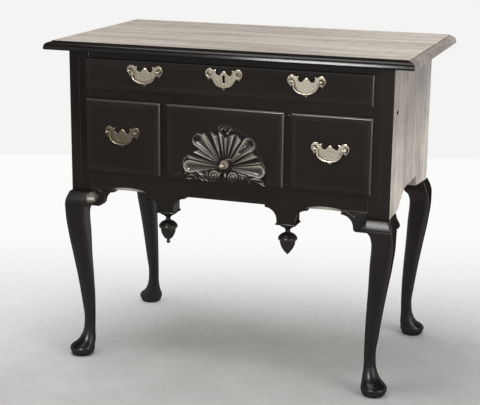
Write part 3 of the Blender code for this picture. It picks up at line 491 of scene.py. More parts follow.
# Feather band: pairs of slanted slips of wood that meet in a point all along the path
def makeFeatherTree():
    tree, given = newTree("featherBand", {"Band": "NodeSocketFloat", "Pitch": "NodeSocketFloat",
                                          "Depth": "NodeSocketFloat", "Stand": "NodeSocketVector",
                                          "Finish": "NodeSocketMaterial"})
    path = geo(tree, "MeshToCurve", {"Mesh": given["Geometry"]})
    spots = addNode(tree, "GeometryNodeCurveToPoints", {"mode": "LENGTH"},
                    {"Curve": path, "Length": given["Pitch"]})
    thin = maths(tree, "MULTIPLY", given["Pitch"], 0.42)
    length = maths(tree, "MULTIPLY", given["Band"], 0.62)
    size = addNode(tree, "CombineXYZ", {}, {0: length, 1: given["Depth"], 2: thin})
    slip = geo(tree, "MeshCube", {"Size": size.outputs[0]})
    reach = maths(tree, "MULTIPLY", given["Band"], 0.24)
    halves = []
    for side in (-1, 1):
        move = addNode(tree, "CombineXYZ", {}, {0: maths(tree, "MULTIPLY", reach, float(side))})
        halves.append(geo(tree, "Transform", {"Geometry": slip, "Translation": move.outputs[0],
                                              "Rotation": (0.0, side * math.radians(38), 0.0)}))
    pair = addNode(tree, "GeometryNodeJoinGeometry", {}, {"Geometry": halves[0]})
    feed(tree, pair, {"Geometry": halves[1]})
    laid = geo(tree, "InstanceOnPoints", {"Points": spots.outputs["Points"], "Instance": pair.outputs[0],
                                          "Rotation": spots.outputs["Rotation"]})
    endTree(tree, stoodUp(tree, laid, given["Stand"]), given["Finish"])
    return tree


# Fittings: one shape set at every point, such as posts, pins, rivets, nails and dovetails
def makeFittingTree():
    tree, given = newTree("fittings", {"Shape": "NodeSocketObject", "Turn": "NodeSocketVector",
                                       "Finish": "NodeSocketMaterial"})
    shape = addNode(tree, "GeometryNodeObjectInfo", {}, {"Object": given["Shape"]})
    turn = addNode(tree, "FunctionNodeEulerToRotation", {}, {0: given["Turn"]})
    fitted = geo(tree, "InstanceOnPoints", {"Points": given["Geometry"], "Rotation": turn.outputs[0],
                                            "Instance": shape.outputs["Geometry"]})
    endTree(tree, fitted, given["Finish"])
    return tree


# Bent rod: round bar along a path, thickest in the middle of its length
def makeRodTree():
    tree, given = newTree("bentRod", {"Radius": "NodeSocketFloat", "Swell": "NodeSocketFloat",
                                      "Sides": "NodeSocketInt", "Finish": "NodeSocketMaterial"})
    path = geo(tree, "MeshToCurve", {"Mesh": given["Geometry"]})
    along = geo(tree, "SplineParameter", {})
    crest = maths(tree, "SINE", maths(tree, "MULTIPLY", along, math.pi))
    radius = maths(tree, "MULTIPLY_ADD", maths(tree, "POWER", crest, 2.0), given["Swell"], given["Radius"])
    endTree(tree, sweep(tree, path, given["Sides"], radius), given["Finish"])
    return tree


# Turned drop: a spindle whose radius follows the turner's pattern from top to tip
def makeTurningTree(pattern):
    tree, given = newTree("turnedDrop", {"Length": "NodeSocketFloat", "Radius": "NodeSocketFloat",
                                         "Rings": "NodeSocketInt", "Sides": "NodeSocketInt",
                                         "Top": "NodeSocketVector", "Finish": "NodeSocketMaterial"})
    tip = addNode(tree, "CombineXYZ", {}, {2: maths(tree, "MULTIPLY", given["Length"], -1.0)})
    axis = geo(tree, "CurvePrimitiveLine", {"End": tip.outputs[0]})
    cut = geo(tree, "ResampleCurve", {"Curve": axis, "Count": given["Rings"]})
    shape = addNode(tree, "FloatCurve", {}, {"Value": geo(tree, "SplineParameter", {})})
    curve = shape.mapping.curves[0]
    for share, width in pattern[1:-1]:
        curve.points.new(share, width)
    curve.points[0].location = pattern[0]
    curve.points[-1].location = pattern[-1]
    for point in curve.points:
        point.handle_type = "AUTO_CLAMPED"
    shape.mapping.update()
    radius = maths(tree, "MULTIPLY", shape.outputs[0], given["Radius"])
    body = sweep(tree, cut, given["Sides"], radius)
    hung = geo(tree, "Transform", {"Geometry": body, "Translation": given["Top"]})
    endTree(tree, hung, given["Finish"])
    return tree


inlayTree = makeInlayTree()
featherTree = makeFeatherTree()
fittingTree = makeFittingTree()
rodTree = makeRodTree()
print("node trees made")

# Top board: ovolo and fillet round the front and ends, straight at the back, two boards glued edge to edge
topShape = {"edge": 0.0035, "arris": 0.0015, "ovolo": 0.0135, "lean": 0.22, "fillet": 0.0025,
            "upperArris": 0.0004, "corner": 0.0012, "steps": 24, "mouldWidth": 0.0165, "seamLeft": 0.0072,
            "seamRight": 0.0269, "seamWidth": 0.0007, "seamDepth": 0.0006, "seamPast": 0.01,
            "seamAbove": 0.001, "underStrip": 0.002, "flatStrip": 0.003, "sharp": 28}


def roundedRing(x0, y0, x1, y1, radius, level, steps=4):
    ring = []
    corners = ((x1, y1, 0), (x0, y1, 90), (x0, y0, 180), (x1, y0, 270))
    for x, y, start in corners:
        middle = (x - math.copysign(radius, x - (x0 + x1) / 2),
                  y - math.copysign(radius, y - (y0 + y1) / 2))
        ring += [(px, py, level) for px, py in arc(middle, (radius, radius), start, start + 90, steps)]
    return ring


def makeTop(shape):
    low, high = topLow.z, topHigh.z
    arris, small, lean = shape["arris"], shape["upperArris"], shape["lean"]
    roundLow = low + shape["edge"]
    rise = high - low - shape["edge"] - shape["fillet"]
    profile = [(arris + shape["underStrip"], low), (arris, low)]
    profile += [(arris - a, low + arris - b) for a, b in arc((0.0, 0.0), (arris, arris), -90, 0, 5)]
    profile += [(0.0, roundLow - small)]
    for i in range(shape["steps"] + 1):  # long and nearly straight, then it turns over quickly to the fillet
        share = i / shape["steps"]
        profile.append((shape["ovolo"] * (lean * share + (1 - lean) * share ** 5), roundLow + rise * share))
    step = shape["ovolo"] + shape["fillet"]
    profile += [(step - small, high - shape["fillet"]), (step, high - shape["fillet"] + gap)]
    profile += [(step + small - a, high - small + b) for a, b in arc((0.0, 0.0), (small, small), 0, 90, 3)]
    profile += [(step + shape["flatStrip"], high)]
    rings = []
    for inset, level in profile:
        rings.append(roundedRing(topLow.x + inset, topLow.y + inset, topHigh.x - inset, topHigh.y,
                                 shape["corner"], level))
    return loftMesh("topBoard", rings, shape["sharp"])


def makeSeamCutter(shape):
    rings = []
    half = shape["seamWidth"] / 2
    flat, deep = topHigh.z, topHigh.z - shape["seamDepth"]
    above = flat + shape["seamAbove"]
    for x, y in ((topLow.x - shape["seamPast"], shape["seamLeft"]),
                 (topHigh.x + shape["seamPast"], shape["seamRight"])):
        rings.append([(x, y - half, above), (x, y - half, flat), (x, y, deep), (x, y + half, flat),
                      (x, y + half, above)])
    return loftMesh("seam", rings)


# The flat is faded; painted shade makes the moulding along the front and the underside black, while the ends
# and the back are faded
def topFinish(normal, middle):
    if normal.z > 0.9 and middle.z > topHigh.z - 0.0002:
        return 0
    if middle.y < topLow.y + topShape["mouldWidth"] and abs(normal.x) < 0.5:
        return 1
    edge = min(topHigh.x - abs(middle.x), topHigh.y - middle.y)
    return 2 if abs(normal.x) > 0.3 or edge < topShape["mouldWidth"] else 1


topMesh = cutAway(makeTop(topShape), makeSeamCutter(topShape))
place("topBoard", topMesh, [topWalnut, shadedEdgeWalnut, fadedWalnut], "case", ["top_board"])
paintFaces(topMesh, topFinish)
print("top made")

# Sides: an ogee behind the front knee, an arch, and a step down before the rear leg; the right one has
# an old nail hole, torn wide, its walls and rim near black
sideShape = {"rise": 0.038, "ogeeStart": 0.065, "ogee": 0.096, "steps": 32, "rear": 0.130, "rearRise": 0.013,
             "rearRound": 0.004, "arris": 0.0008, "hole": (-0.170, 0.637), "holeReach": (0.0076, 0.0036),
             "stain": 1.6}


def sideOutline(shape):
    low = ledgeZ + gap
    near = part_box("right_side")[0].y
    points = [(near, underTop), (near, low)]
    for i in range(shape["steps"] + 1):
        share = i / shape["steps"]
        rise = shape["rise"] * (1 - math.cos(math.pi * share)) / 2
        points.append((frontY + shape["ogeeStart"] + shape["ogee"] * share, low + rise))
    step = backY - shape["rear"]
    radius = shape["rearRound"]
    points += [(step - radius, low + shape["rise"])]
    points += arc((step - radius, low + shape["rise"] - radius), (radius, radius), 90, 0, 4)
    points += [(step, low + shape["rearRise"]), (backY, low), (backY, underTop)]
    return points


# The hole's walls and torn rim are near black, the rest is faded wood
def holeFinish(normal, middle):
    away = [(at - centre) / reach for at, centre, reach in
            zip((middle.y, middle.z), sideShape["hole"], sideShape["holeReach"])]
    return 1 if abs(normal.x) < 0.98 and math.hypot(*away) < sideShape["stain"] else 0


for side, sign in bothSides:
    low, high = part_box(f"{side}_side")
    outlines = [sideOutline(sideShape)]
    if sign > 0:
        outlines.append(oval(sideShape["hole"], sideShape["holeReach"], 24))
    stand = Matrix.Translation(((low.x + high.x) / 2, 0.0, 0.0)) @ onSide
    mesh = sawn(f"{side}Side", outlines, high.x - low.x, sideShape["arris"], stand)
    place(f"{side}Side", mesh, [fadedWalnut, darkHoleWalnut], "case", [f"{side}_side"])
    paintFaces(mesh, holeFinish)

# Frame boards: eased boards in the boxes of their nodes, and the mortise in the top rail for the lock's bolt
frameBoards = {"arris": 0.0003, "wearAndSheen": 0.25, "close": 0.00014,
               "mortiseLow": (-0.013, -0.192, 0.70), "mortiseHigh": (0.013, -0.184, 0.7235)}


# The front's joints are glued up tight, so each board is widened over half the frame's gap
def tightBox(node):
    low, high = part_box(node)
    wide = Vector((frameBoards["close"], 0.0, frameBoards["close"]))
    return low - wide, high + wide


# A stile's outer edge is part of the case's side, so it is faded as the side is
def stileFinish(normal, middle):
    return 1 if abs(normal.x) > 0.9 and abs(middle.x) > caseX - 0.001 else 0


for side in ("left", "right"):
    mesh = boardMesh(f"{side}Stile", *tightBox(f"{side}_stile"), frameBoards["arris"])
    rubAndSheen(mesh, frameBoards["wearAndSheen"])
    place(f"{side}Stile", mesh, [darkUpright, fadedWalnut], "case", [f"{side}_stile"])
    paintFaces(mesh, stileFinish)
    node = f"{side}_muntin"
    placeBoard(f"{side}Muntin", tightBox(node), frameBoards["arris"], darkUpright, "case",
               node)
placeBoard("middleRail", tightBox("middle_rail"), frameBoards["arris"], darkWalnut, "case",
           "middle_rail")
mesh = boardMesh("topRail", *tightBox("top_rail"), frameBoards["arris"])
mortise = boardMesh("mortise", frameBoards["mortiseLow"], frameBoards["mortiseHigh"], frameBoards["arris"])
place("topRail", cutAway(mesh, mortise), [darkWalnut], "case", ["top_rail"])

# Apron: three arches sawn out, the side arches eased away in front, a block behind each plinth
apronShape = {"step": 0.0055, "shoulder": 0.028, "arch": 0.415, "plinthX": 0.1455, "plinthWidth": 0.043,
              "plinthDepth": 0.040, "bracketStart": 0.2725, "bracketTop": 0.4195, "arris": 0.0004,
              "easeHeight": 0.0095, "easeDepth": 0.0075, "easeLap": (0.004, 0.012), "easeSteps": 24,
              "easeLeast": 0.0005, "easePower": 0.6, "sheenPower": 0.8, "arrisWear": 0.1,
              "thickness": 0.018, "blockDrop": 0.0183, "blockIn": 0.0004, "blockArris": 0.0006, "wearAndSheen": 1.0}


def shoulder(shape, x, side):
    centre = (x, shape["arch"] - shape["step"] - shape["shoulder"])
    return [(x, shape["arch"])] + arc(centre, (side * shape["shoulder"], shape["shoulder"]), 90, 0, 20)


def apronOutline(shape):
    low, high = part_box("front_apron")
    half = shape["plinthWidth"] / 2
    inner, outer = shape["plinthX"] - half, shape["plinthX"] + half
    right = shoulder(shape, inner - shape["shoulder"], 1) + [(inner, low.z), (outer, low.z)]
    right += shoulder(shape, outer + shape["shoulder"], -1)[::-1]
    close = frameBoards["close"]
    right += [(shape["bracketStart"], shape["arch"]), (shape["bracketStart"], shape["bracketTop"] + gap)]
    right += [(high.x + close, shape["bracketTop"] + gap), (high.x + close, high.z + close)]
    return right + mirrored(right)


# Where the eased edge of a side arch starts and ends
def easeSpan(shape):
    before, after = shape["easeLap"]
    start = shape["plinthX"] + shape["plinthWidth"] / 2 + shape["shoulder"] - before
    return start, shape["bracketStart"] + after


# The rounding along a side arch's front edge, deepest in the middle and dying away at both ends
def easeCutter(shape, sign):
    rings = []
    start, end = easeSpan(shape)
    clear = 0.002  # the cutter stands this far out of the wood
    for i in range(shape["easeSteps"] + 1):
        share = i / shape["easeSteps"]
        x = sign * (start + (end - start) * share)
        swell = math.sin(math.pi * share) ** shape["easePower"]
        rise = shape["easeLeast"] + shape["easeHeight"] * swell
        deep = shape["easeLeast"] + shape["easeDepth"] * swell
        ring = [(x, frontY - clear, shape["arch"] + rise), (x, frontY - clear, shape["arch"] - clear)]
        ring += [(x, frontY + deep, shape["arch"] - clear)]
        ring += [(x, frontY + deep - deep * math.sin(angle), shape["arch"] + rise - rise * math.cos(angle))
                 for angle in (math.pi / 2 * k / 8 for k in range(9))]
        rings.append(ring)
    return loftMesh("ease", rings)


# Painted reflection: the eased edges are painted pale in the middle of each side arch, where they mirror the
# bright floor; other askew faces get a little rubbed wear
def easeSheenAndWear(normal, middle):
    start, end = easeSpan(apronShape)
    share = (abs(middle.x) - start) / (end - start)
    if 0.0 < share < 1.0 and -0.98 < normal.y < -0.05 and normal.z < -0.05:
        return math.sin(math.pi * share) ** apronShape["sheenPower"]
    return apronShape["arrisWear"] if askew(normal) else 0.0


def makeApron(shape):
    low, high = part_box("front_apron")
    stand = Matrix.Translation((0.0, frontY + shape["thickness"] / 2, 0.0)) @ onFront
    board = sawn("frontApron", [apronOutline(shape)], shape["thickness"], shape["arris"], stand)
    for sign in (-1, 1):
        board = cutAway(board, easeCutter(shape, sign))
    bm = bmesh.new()
    half = shape["plinthWidth"] / 2 - shape["blockIn"]
    for x in (-shape["plinthX"], shape["plinthX"]):
        addBoard(bm, (x - half, frontY + shape["thickness"] + 0.0001, low.z + gap),
                 (x + half, frontY + shape["plinthDepth"], high.z - shape["blockDrop"]), shape["blockArris"])
    return rubAndSheen(joined("frontApron", [board, meshFrom(bm, "blocks")]), shape["wearAndSheen"], easeSheenAndWear)


place("frontApron", makeApron(apronShape), [carvedWalnut], "case", ["front_apron"])
print("case front made")

# Turned drops: square cap, cavetto, thin neck, an acorn in its cup; the left one keeps its ball
dropShape = {"length": 0.072, "radius": 0.0218, "neck": 0.0056, "cap": 0.004, "capArris": 0.0014,
             "ball": 0.0045, "rings": 150, "sides": 56, "rimShare": 0.5, "rimReach": 0.0016, "wearAndSheen": 0.12}


# The turner's pattern: shares of the length from the top, and of the largest radius
def dropPattern(shape, withBall):
    neck = shape["neck"] / shape["radius"]
    total = shape["length"] + (shape["ball"] if withBall else 0.0)
    tip = shape["length"] / total
    points = [(0.0, 0.94), (0.022, 0.93), (0.048, 0.86), (0.078, 0.71), (0.105, 0.54), (0.132, 0.41),
              (0.16, 0.32), (0.192, neck), (0.238, neck), (0.265, 0.30), (0.29, 0.40), (0.31, 0.53),
              (0.335, 0.68), (0.365, 0.80), (0.40, 0.90), (0.44, 0.98), (0.47, 1.0), (0.50, 0.985),
              (0.525, 0.93), (0.543, 0.82), (0.56, 0.79), (0.60, 0.80), (0.66, 0.765), (0.74, 0.67),
              (0.82, 0.52), (0.89, 0.355)]
    points = [(share * tip, radius) for share, radius in points]
    if not withBall:
        return points + [(0.94, 0.21), (0.98, 0.09), (1.0, 0.02)]
    ball = shape["ball"] / shape["radius"]
    size = shape["ball"] / total
    points += [(tip - 1.25 * size, 0.80 * ball), (tip - 0.95 * size, 0.76 * ball),
               (tip - 0.6 * size, 0.88 * ball), (tip, ball), (tip + 0.6 * size, 0.80 * ball),
               (tip + 0.9 * size, 0.42 * ball), (1.0, 0.02)]
    return points


for side, withBall in (("left", True), ("right", False)):
    low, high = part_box(f"{side}_drop")
    tree = makeTurningTree(dropPattern(dropShape, withBall))
    underCap = high.z - dropShape["cap"]
    length = high.z - low.z - dropShape["cap"]
    turned = grown(f"{side}Turning", tree, [(0.0, 0.0, 0.0)], [],
                   {"Length": length, "Radius": dropShape["radius"], "Rings": dropShape["rings"],
                    "Sides": dropShape["sides"], "Finish": legWalnut,
                    "Top": ((low.x + high.x) / 2, (low.y + high.y) / 2, underCap)})
    cap = boardMesh("cap", (low.x, low.y, underCap), high, dropShape["capArris"])
    mesh = joined(f"{side}Drop", [turned, cap])
    rim = underCap - dropShape["rimShare"] * dropShape["length"]
    # Painted highlight: a pale band round the rim of the acorn's cup, where the light catches it
    rubAndSheen(mesh, dropShape["wearAndSheen"], lambda normal, middle: abs(middle.z - rim) < dropShape["rimReach"])
    place(f"{side}Drop", mesh, [legWalnut], "case", [f"{side}_drop"])

# Legs: a square knee under a flat ledge that rounds off down the shin to a round ankle and pad foot.
# Levels from the top: height, outside the case's side and front, inside the side, corner rounding
legShape = {"levels": [(ledgeHeight, 0.001, 0.015, 0.049, 0.10), (0.386, 0.0095, 0.022, 0.049, 0.12),
                       (0.379, 0.0115, 0.0222, 0.0455, 0.17), (0.371, 0.0126, 0.0220, 0.0390, 0.26),
                       (0.351, 0.0132, 0.0212, 0.0352, 0.42), (0.300, 0.0086, 0.0188, 0.0387, 0.60),
                       (0.250, 0.0010, 0.0150, 0.0412, 0.76), (0.190, -0.0083, 0.0098, 0.0448, 0.88),
                       (0.130, -0.0163, 0.0054, 0.0470, 0.95), (0.090, -0.0209, 0.0037, 0.0474, 1.0),
                       (0.0646, -0.0195, 0.0054, 0.0469, 1.0), (0.0514, -0.0160, 0.0089, 0.0473, 1.0),
                       (0.0399, -0.0106, 0.0142, 0.0482, 1.0), (0.0308, -0.0033, 0.0213, 0.0486, 1.0),
                       (0.0234, 0.0061, 0.0306, 0.0486, 1.0), (0.0190, 0.0098, 0.0342, 0.0488, 1.0),
                       (0.0160, 0.0106, 0.0350, 0.049, 1.0), (0.0, 0.0046, 0.0290, 0.043, 1.0)],
            "sides": 64, "rings": 150, "sharp": 38, "soleRound": 0.0015, "ledgeRound": 0.0006,
            "postIn": 0.337, "postOut": 0.3627, "postDepth": 0.017, "postArris": 0.0008,
            "frontBack": 0.0183, "rearBack": 0.0123,
            "crease": 0.3842, "creaseDepth": 0.0003, "creaseWidth": 0.0012}


# A smooth curve through the levels that never swings past them
def curveSlopes(heights, values):
    steps = [(b - a) / (q - p) for a, b, p, q in zip(values, values[1:], heights, heights[1:])]
    found = [steps[0]]
    for before, after in zip(steps, steps[1:]):
        found.append(0.0 if before * after <= 0 else 2 * before * after / (before + after))
    return found + [steps[-1]]


def legSection(levels, height):
    ordered = list(reversed(levels))
    heights = [level[0] for level in ordered]
    i = max(k for k in range(len(heights) - 1) if heights[k] <= height)
    span = heights[i + 1] - heights[i]
    t = (height - heights[i]) / span
    found = []
    for column in range(1, 5):
        values = [level[column] for level in ordered]
        slope = curveSlopes(heights, values)
        start = values[i] * (1 + 2 * t) * (1 - t) ** 2 + slope[i] * span * t * (1 - t) ** 2
        found.append(start + values[i + 1] * t * t * (3 - 2 * t) + slope[i + 1] * span * t * t * (t - 1))
    return found


# The knee's face slopes back nearly straight from the crease up to the ledge
def kneeReach(shape, height, otherwise):
    (top, _, topOut, _, _), (low, _, lowOut, _, _) = shape["levels"][:2]
    if height < low:
        return otherwise
    return lowOut - (lowOut - topOut) * ((height - low) / (top - low)) ** 1.5


def legRing(shape, height, sign, rear):
    sideOut, frontOut, inside, rounding = legSection(shape["levels"], height)
    frontOut = kneeReach(shape, height, frontOut)
    half = (sideOut + inside) / 2
    middleX = caseX + sideOut - half
    middleY = half - frontOut
    half -= shape["creaseDepth"] * math.exp(-((height - shape["crease"]) / shape["creaseWidth"]) ** 2)
    radius = half * rounding
    ring = []
    for i in range(shape["sides"]):
        angle = 2 * math.pi * (i + 0.5) / shape["sides"]
        x = middleX + math.copysign(half - radius, math.cos(angle)) + radius * math.cos(angle)
        y = middleY + math.copysign(half - radius, math.sin(angle)) + radius * math.sin(angle)
        ring.append((sign * x, backY - y if rear else frontY + y, height))
    return ring


def makeLeg(shape, name, sign, rear):
    top = shape["levels"][0][0]
    sole, ledge = shape["soleRound"], shape["ledgeRound"]
    heights = [top * (1 - i / shape["rings"]) for i in range(shape["rings"] + 1)]
    heights += [level[0] for level in shape["levels"]] + [ledge, sole, top - ledge]
    heights += [shape["crease"] + shape["creaseWidth"] * k / 2 for k in range(-4, 5)]
    rings = []
    for height in sorted(set(heights)):
        ring = legRing(shape, height, sign, rear)
        shrink = sole - height if height < sole else (ledge if height >= top else 0.0)
        if shrink:  # the sole's edge and the ledge's edge are rubbed round
            middle = Vector((sum(p[0] for p in ring), sum(p[1] for p in ring), 0.0)) / len(ring)
            size = 1 - shrink / 0.03  # a knee and a foot are both about 30 mm from middle to edge
            ring = [((p[0] - middle.x) * size + middle.x, (p[1] - middle.y) * size + middle.y, p[2])
                    for p in ring]
        rings.append(ring)
    bm = bmesh.new()
    addLoft(bm, rings)
    near = shape["rearBack"] if rear else shape["frontBack"]
    far = near + shape["postDepth"]
    yLow, yHigh = (backY - far, backY - near) if rear else (frontY + near, frontY + far)
    xLow, xHigh = sorted((sign * shape["postIn"], sign * shape["postOut"]))
    addBoard(bm, (xLow, yLow, top + 0.0001), (xHigh, yHigh, underTop), shape["postArris"])
    return meshFrom(bm, name, shape["sharp"])


# The shaped block glued in front of each rear leg, behind the lower edge of the side
kneeBlock = {"end": 0.0372, "length": 0.108, "drop": 0.050, "thickness": 0.020, "rise": 0.038, "steps": 16,
             "arris": 0.0008}


def makeKneeBlock(shape, name, sign):
    end = backY - shape["end"]
    top = ledgeZ + shape["rise"]
    outline = [(end - shape["length"], top), (end, top), (end, top - shape["drop"])]
    for i in range(1, shape["steps"]):
        share = i / shape["steps"]
        outline.append((end - shape["length"] * share,
                        top - shape["drop"] * (0.5 + 0.5 * math.cos(math.pi * share)) - 0.0004))
    stand = Matrix.Translation((sign * (legShape["postOut"] - shape["thickness"] / 2), 0.0, 0.0)) @ onSide
    return sawn(name, [outline], shape["thickness"], shape["arris"], stand)


for name, sign, rear in (("frontLeft", -1, False), ("frontRight", 1, False), ("rearLeft", -1, True),
                         ("rearRight", 1, True)):
    mesh = makeLeg(legShape, f"{name}Leg", sign, rear)
    if rear:
        block = makeKneeBlock(kneeBlock, f"{name}Block", sign)
        mesh = joined(f"{name}Leg", [mesh, block], legShape["sharp"])
    node = f"{'rear' if rear else 'front'}_{'left' if sign < 0 else 'right'}_leg"
    place(f"{name}Leg", mesh, [legWalnut], "case", [node])
print("legs made")

# Knee brackets: sawn to the arch, with a raised scroll along the edge and the knee's roll returned on them.
# The left (-1) and the right one (1) were carved a little differently.
bracketShape = {"drop": 0.042, "toe": {-1: 0.015, 1: 0.008}, "proud": 0.002, "arris": 0.0004, "wearAndSheen": 0.6,
                "dome": (-0.3255, 0.3965), "domeReach": 0.0148, "upperEdge": 0.408,
                "intoLeg": 0.3460, "rollTop": 0.4068, "rollSteps": 28, "endSteps": 16,
                "turn": {-1: 0.0235, 1: 0.020}, "fall": {-1: 0.0056, 1: 0.0035},
                "corner": {-1: 0.20, 1: 0.14}, "bend": {-1: 1.2, 1: 2.0},
                "levels": (0.3785, 0.381, 0.384, 0.387, 0.392, 0.397, 0.402, 0.407),
                "return": {-1: (0.3235, 0.3170, 0.3130, 0.3112, 0.3110, 0.3130, 0.3180, 0.3270),
                           1: (0.3295, 0.3257, 0.3222, 0.3208, 0.3232, 0.3258, 0.3286, 0.3318)},
                "scroll": [(0.282, 0.419), (0.292, 0.4135), (0.303, 0.407), (0.3075, 0.411), (0.3135, 0.4155),
                           (0.321, 0.4185), (0.3313, 0.4195)]}


def bracketOutline(shape, apron, sign):
    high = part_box("right_bracket")[1]
    x = apron["bracketStart"] + gap
    curve = shoulder(apron, x, 1)
    bottom = apron["arch"] - shape["drop"]
    radius = shape["toe"][sign]
    toe = (curve[-1][0] + radius, bottom + radius)
    edge = curve + arc(toe, (radius, radius), 180, 270, 8)
    return edge, [(high.x, bottom)], [(high.x, high.z), (x, high.z)]


# Painted highlights: a soft pale patch on the left roll's end and a pale line along the right bracket's upper
# edge, where the light catches them
def kneeHighlight(normal, middle):
    if middle.x > 0:
        return normal.z > 0.3 and middle.z > bracketShape["upperEdge"]
    away = math.dist((middle.x, middle.z), bracketShape["dome"]) / bracketShape["domeReach"]
    onRoll = middle.y < frontY - bracketShape["proud"] - 0.001 and normal.y < -0.1
    return max(0.0, 1 - away ** 2) if onRoll else 0.0


def makeBracket(shape, apron, sign, name):
    edge, toeEnd, top = bracketOutline(shape, apron, sign)
    base = edge + toeEnd + top
    raised = edge + toeEnd + [(toeEnd[0][0], apron["bracketTop"])] + shape["scroll"][::-1][1:]
    parts = []
    for outline, front, back in ((base, frontY, frontY + apron["thickness"]),
                                 (raised, frontY - shape["proud"], frontY - 0.00005)):
        drawn = mirrored(outline) if sign < 0 else outline
        stand = Matrix.Translation((0.0, (front + back) / 2, 0.0)) @ onFront
        parts.append(sawn(name, [drawn], back - front, min(shape["arris"], (back - front) / 3), stand))
    rings = []
    wall = frontY - shape["proud"] + 0.0004
    turn, tight, fall, bend = (shape[key][sign] for key in ("turn", "corner", "fall", "bend"))
    for i in range(shape["rollSteps"] + 1):  # the roll's return, rounded back along a slanting edge
        height = shape["rollTop"] - (shape["rollTop"] - shape["levels"][0]) * i / shape["rollSteps"]
        reach = kneeReach(legShape, height, legSection(legShape["levels"], height)[1])
        slant = float(np.interp(height, shape["levels"], shape["return"][sign]))
        deep = reach - shape["proud"] + 0.0003
        section = [(shape["intoLeg"], wall), (slant, wall)]
        for k in range(shape["endSteps"] + 1):  # a soft fall over the roll's end, then its rounded corner
            share = 1 - math.sin(math.pi / 2 * k / shape["endSteps"])
            corner = math.sqrt(1 - max(0.0, (share - 1 + tight) / tight) ** 2)
            section.append((slant + turn * (1 - share), wall - (deep - fall * share ** bend) * corner))
        section.append((shape["intoLeg"], wall - deep))
        rings.append([(sign * x, y, height) for x, y in section])
    parts.append(loftMesh("return", rings))
    return rubAndSheen(joined(name, parts), shape["wearAndSheen"], kneeHighlight)


for side, sign in bothSides:
    mesh = makeBracket(bracketShape, apronShape, sign, f"{side}Bracket")
    place(f"{side}Bracket", mesh, [legWalnut], "case", [f"{side}_bracket"])

# Side brackets: a block behind each front knee that swells out from the side and dies away to the back
sideBracket = {"steps": 20, "round": 16, "drop": 0.034, "leastSwell": 0.18, "dying": 1.2, "belly": 1.5,
               "evenDrop": 0.4, "swellDrop": 0.6, "sharp": 40}


def makeSideBracket(shape, sign, node, name):
    low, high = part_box(node)
    inner, outer = (low.x, high.x) if sign > 0 else (-high.x, -low.x)
    proud = outer - caseX
    rings = []
    for i in range(shape["steps"] + 1):
        share = i / shape["steps"]
        swell = 0.5 + 0.5 * math.cos(math.pi * share ** shape["dying"])
        swell = shape["leastSwell"] + (1 - shape["leastSwell"]) * swell
        drop = shape["drop"] * (shape["evenDrop"] + shape["swellDrop"] * swell)
        section = [(inner, 0.0), (caseX, 0.0)]
        section += [(caseX + proud * swell * math.sin(math.pi * (k / shape["round"]) ** shape["belly"]),
                     drop * k / shape["round"])
                    for k in range(1, shape["round"])]
        section += [(caseX, drop), (inner, drop)]
        rings.append([(sign * x, low.y + (high.y - low.y) * share, high.z - down) for x, down in section])
    return loftMesh(name, rings, shape["sharp"])


for side, sign in bothSides:
    mesh = makeSideBracket(sideBracket, sign, f"{side}_side_bracket", f"{side}SideBracket")
    place(f"{side}SideBracket", mesh, [legWalnut], "case", [f"{side}_side_bracket"])
print("brackets made")

# Back: two boards, nailed into the posts and along the top
backShape = {"arris": 0.0008, "seam": 0.0012, "seamZ": 0.585, "nailRadius": 0.0028, "nailHead": 0.0009,
             "nailX": 0.350, "nailHeights": (0.425, 0.480, 0.530, 0.610, 0.665, 0.720),
             "upperZ": 0.728, "upperNails": (-0.230, -0.080, 0.085, 0.235)}
low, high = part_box("back_board")
bm = bmesh.new()
addBoard(bm, low, (high.x, high.y, backShape["seamZ"] - backShape["seam"] / 2), backShape["arris"])
addBoard(bm, (low.x, low.y, backShape["seamZ"] + backShape["seam"] / 2), high, backShape["arris"])
place("backBoards", meshFrom(bm, "backBoards"), [planedPineAcross], "case", ["back_board"])


def fittingShape(name, profile, steps):
    return linked(name, turnedMesh(name, profile, steps, Matrix.Identity(4)))


toFront = (math.pi / 2, 0.0, 0.0)  # turns a fitting's axis from upright to the front or the back
toBack = (-math.pi / 2, 0.0, 0.0)


def setFittings(name, shape, points, turn, finish):
    mesh = grown(name, fittingTree, points, [], {"Shape": shape, "Turn": turn, "Finish": finish})
    bpy.data.objects.remove(shape, do_unlink=True)
    return mesh


def placeFittings(name, shape, points, turn, finish, body):
    place(name, setFittings(name, shape, points, turn, finish), None, body)


def forgedNail(radius, head):
    return fittingShape("nail", [(0.0003, head), (0.6 * radius, 0.85 * head), (radius, 0.3 * head),
                                 (0.95 * radius, 0.0001)], 12)


spots = [(x, backY, z) for x in (-backShape["nailX"], backShape["nailX"]) for z in backShape["nailHeights"]]
spots += [(x, backY, backShape["upperZ"]) for x in backShape["upperNails"]]
nail = forgedNail(backShape["nailRadius"], backShape["nailHead"])
placeFittings("backNails", nail, spots, toBack, forgedIron, "case")

# Runners under the drawers; the inner ones carry a guide between two drawers
runnerShape = {"arris": 0.0008, "guideHeight": 0.030, "bearing": 0.013, "guideIn": 0.001}
for side in ("left", "right"):
    for kind in ("long", "outer"):
        node = f"{side}_{kind}_runner"
        title = f"{side}{kind.capitalize()}Runner"
        placeBoard(title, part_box(node), runnerShape["arris"], planedPine, "case", node)
    low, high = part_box(f"{side}_inner_runner")
    level = high.z - runnerShape["guideHeight"]
    inset = runnerShape["bearing"] + runnerShape["guideIn"]
    bm = bmesh.new()
    addBoard(bm, low, (high.x, high.y, level), runnerShape["arris"])
    addBoard(bm, (low.x + inset, low.y, level + 0.0001), (high.x - inset, high.y, high.z),
             runnerShape["arris"])
    title = f"{side}InnerRunner"
    place(title, meshFrom(bm, title), [planedPine], "case", [f"{side}_inner_runner"])
print("back and runners made")

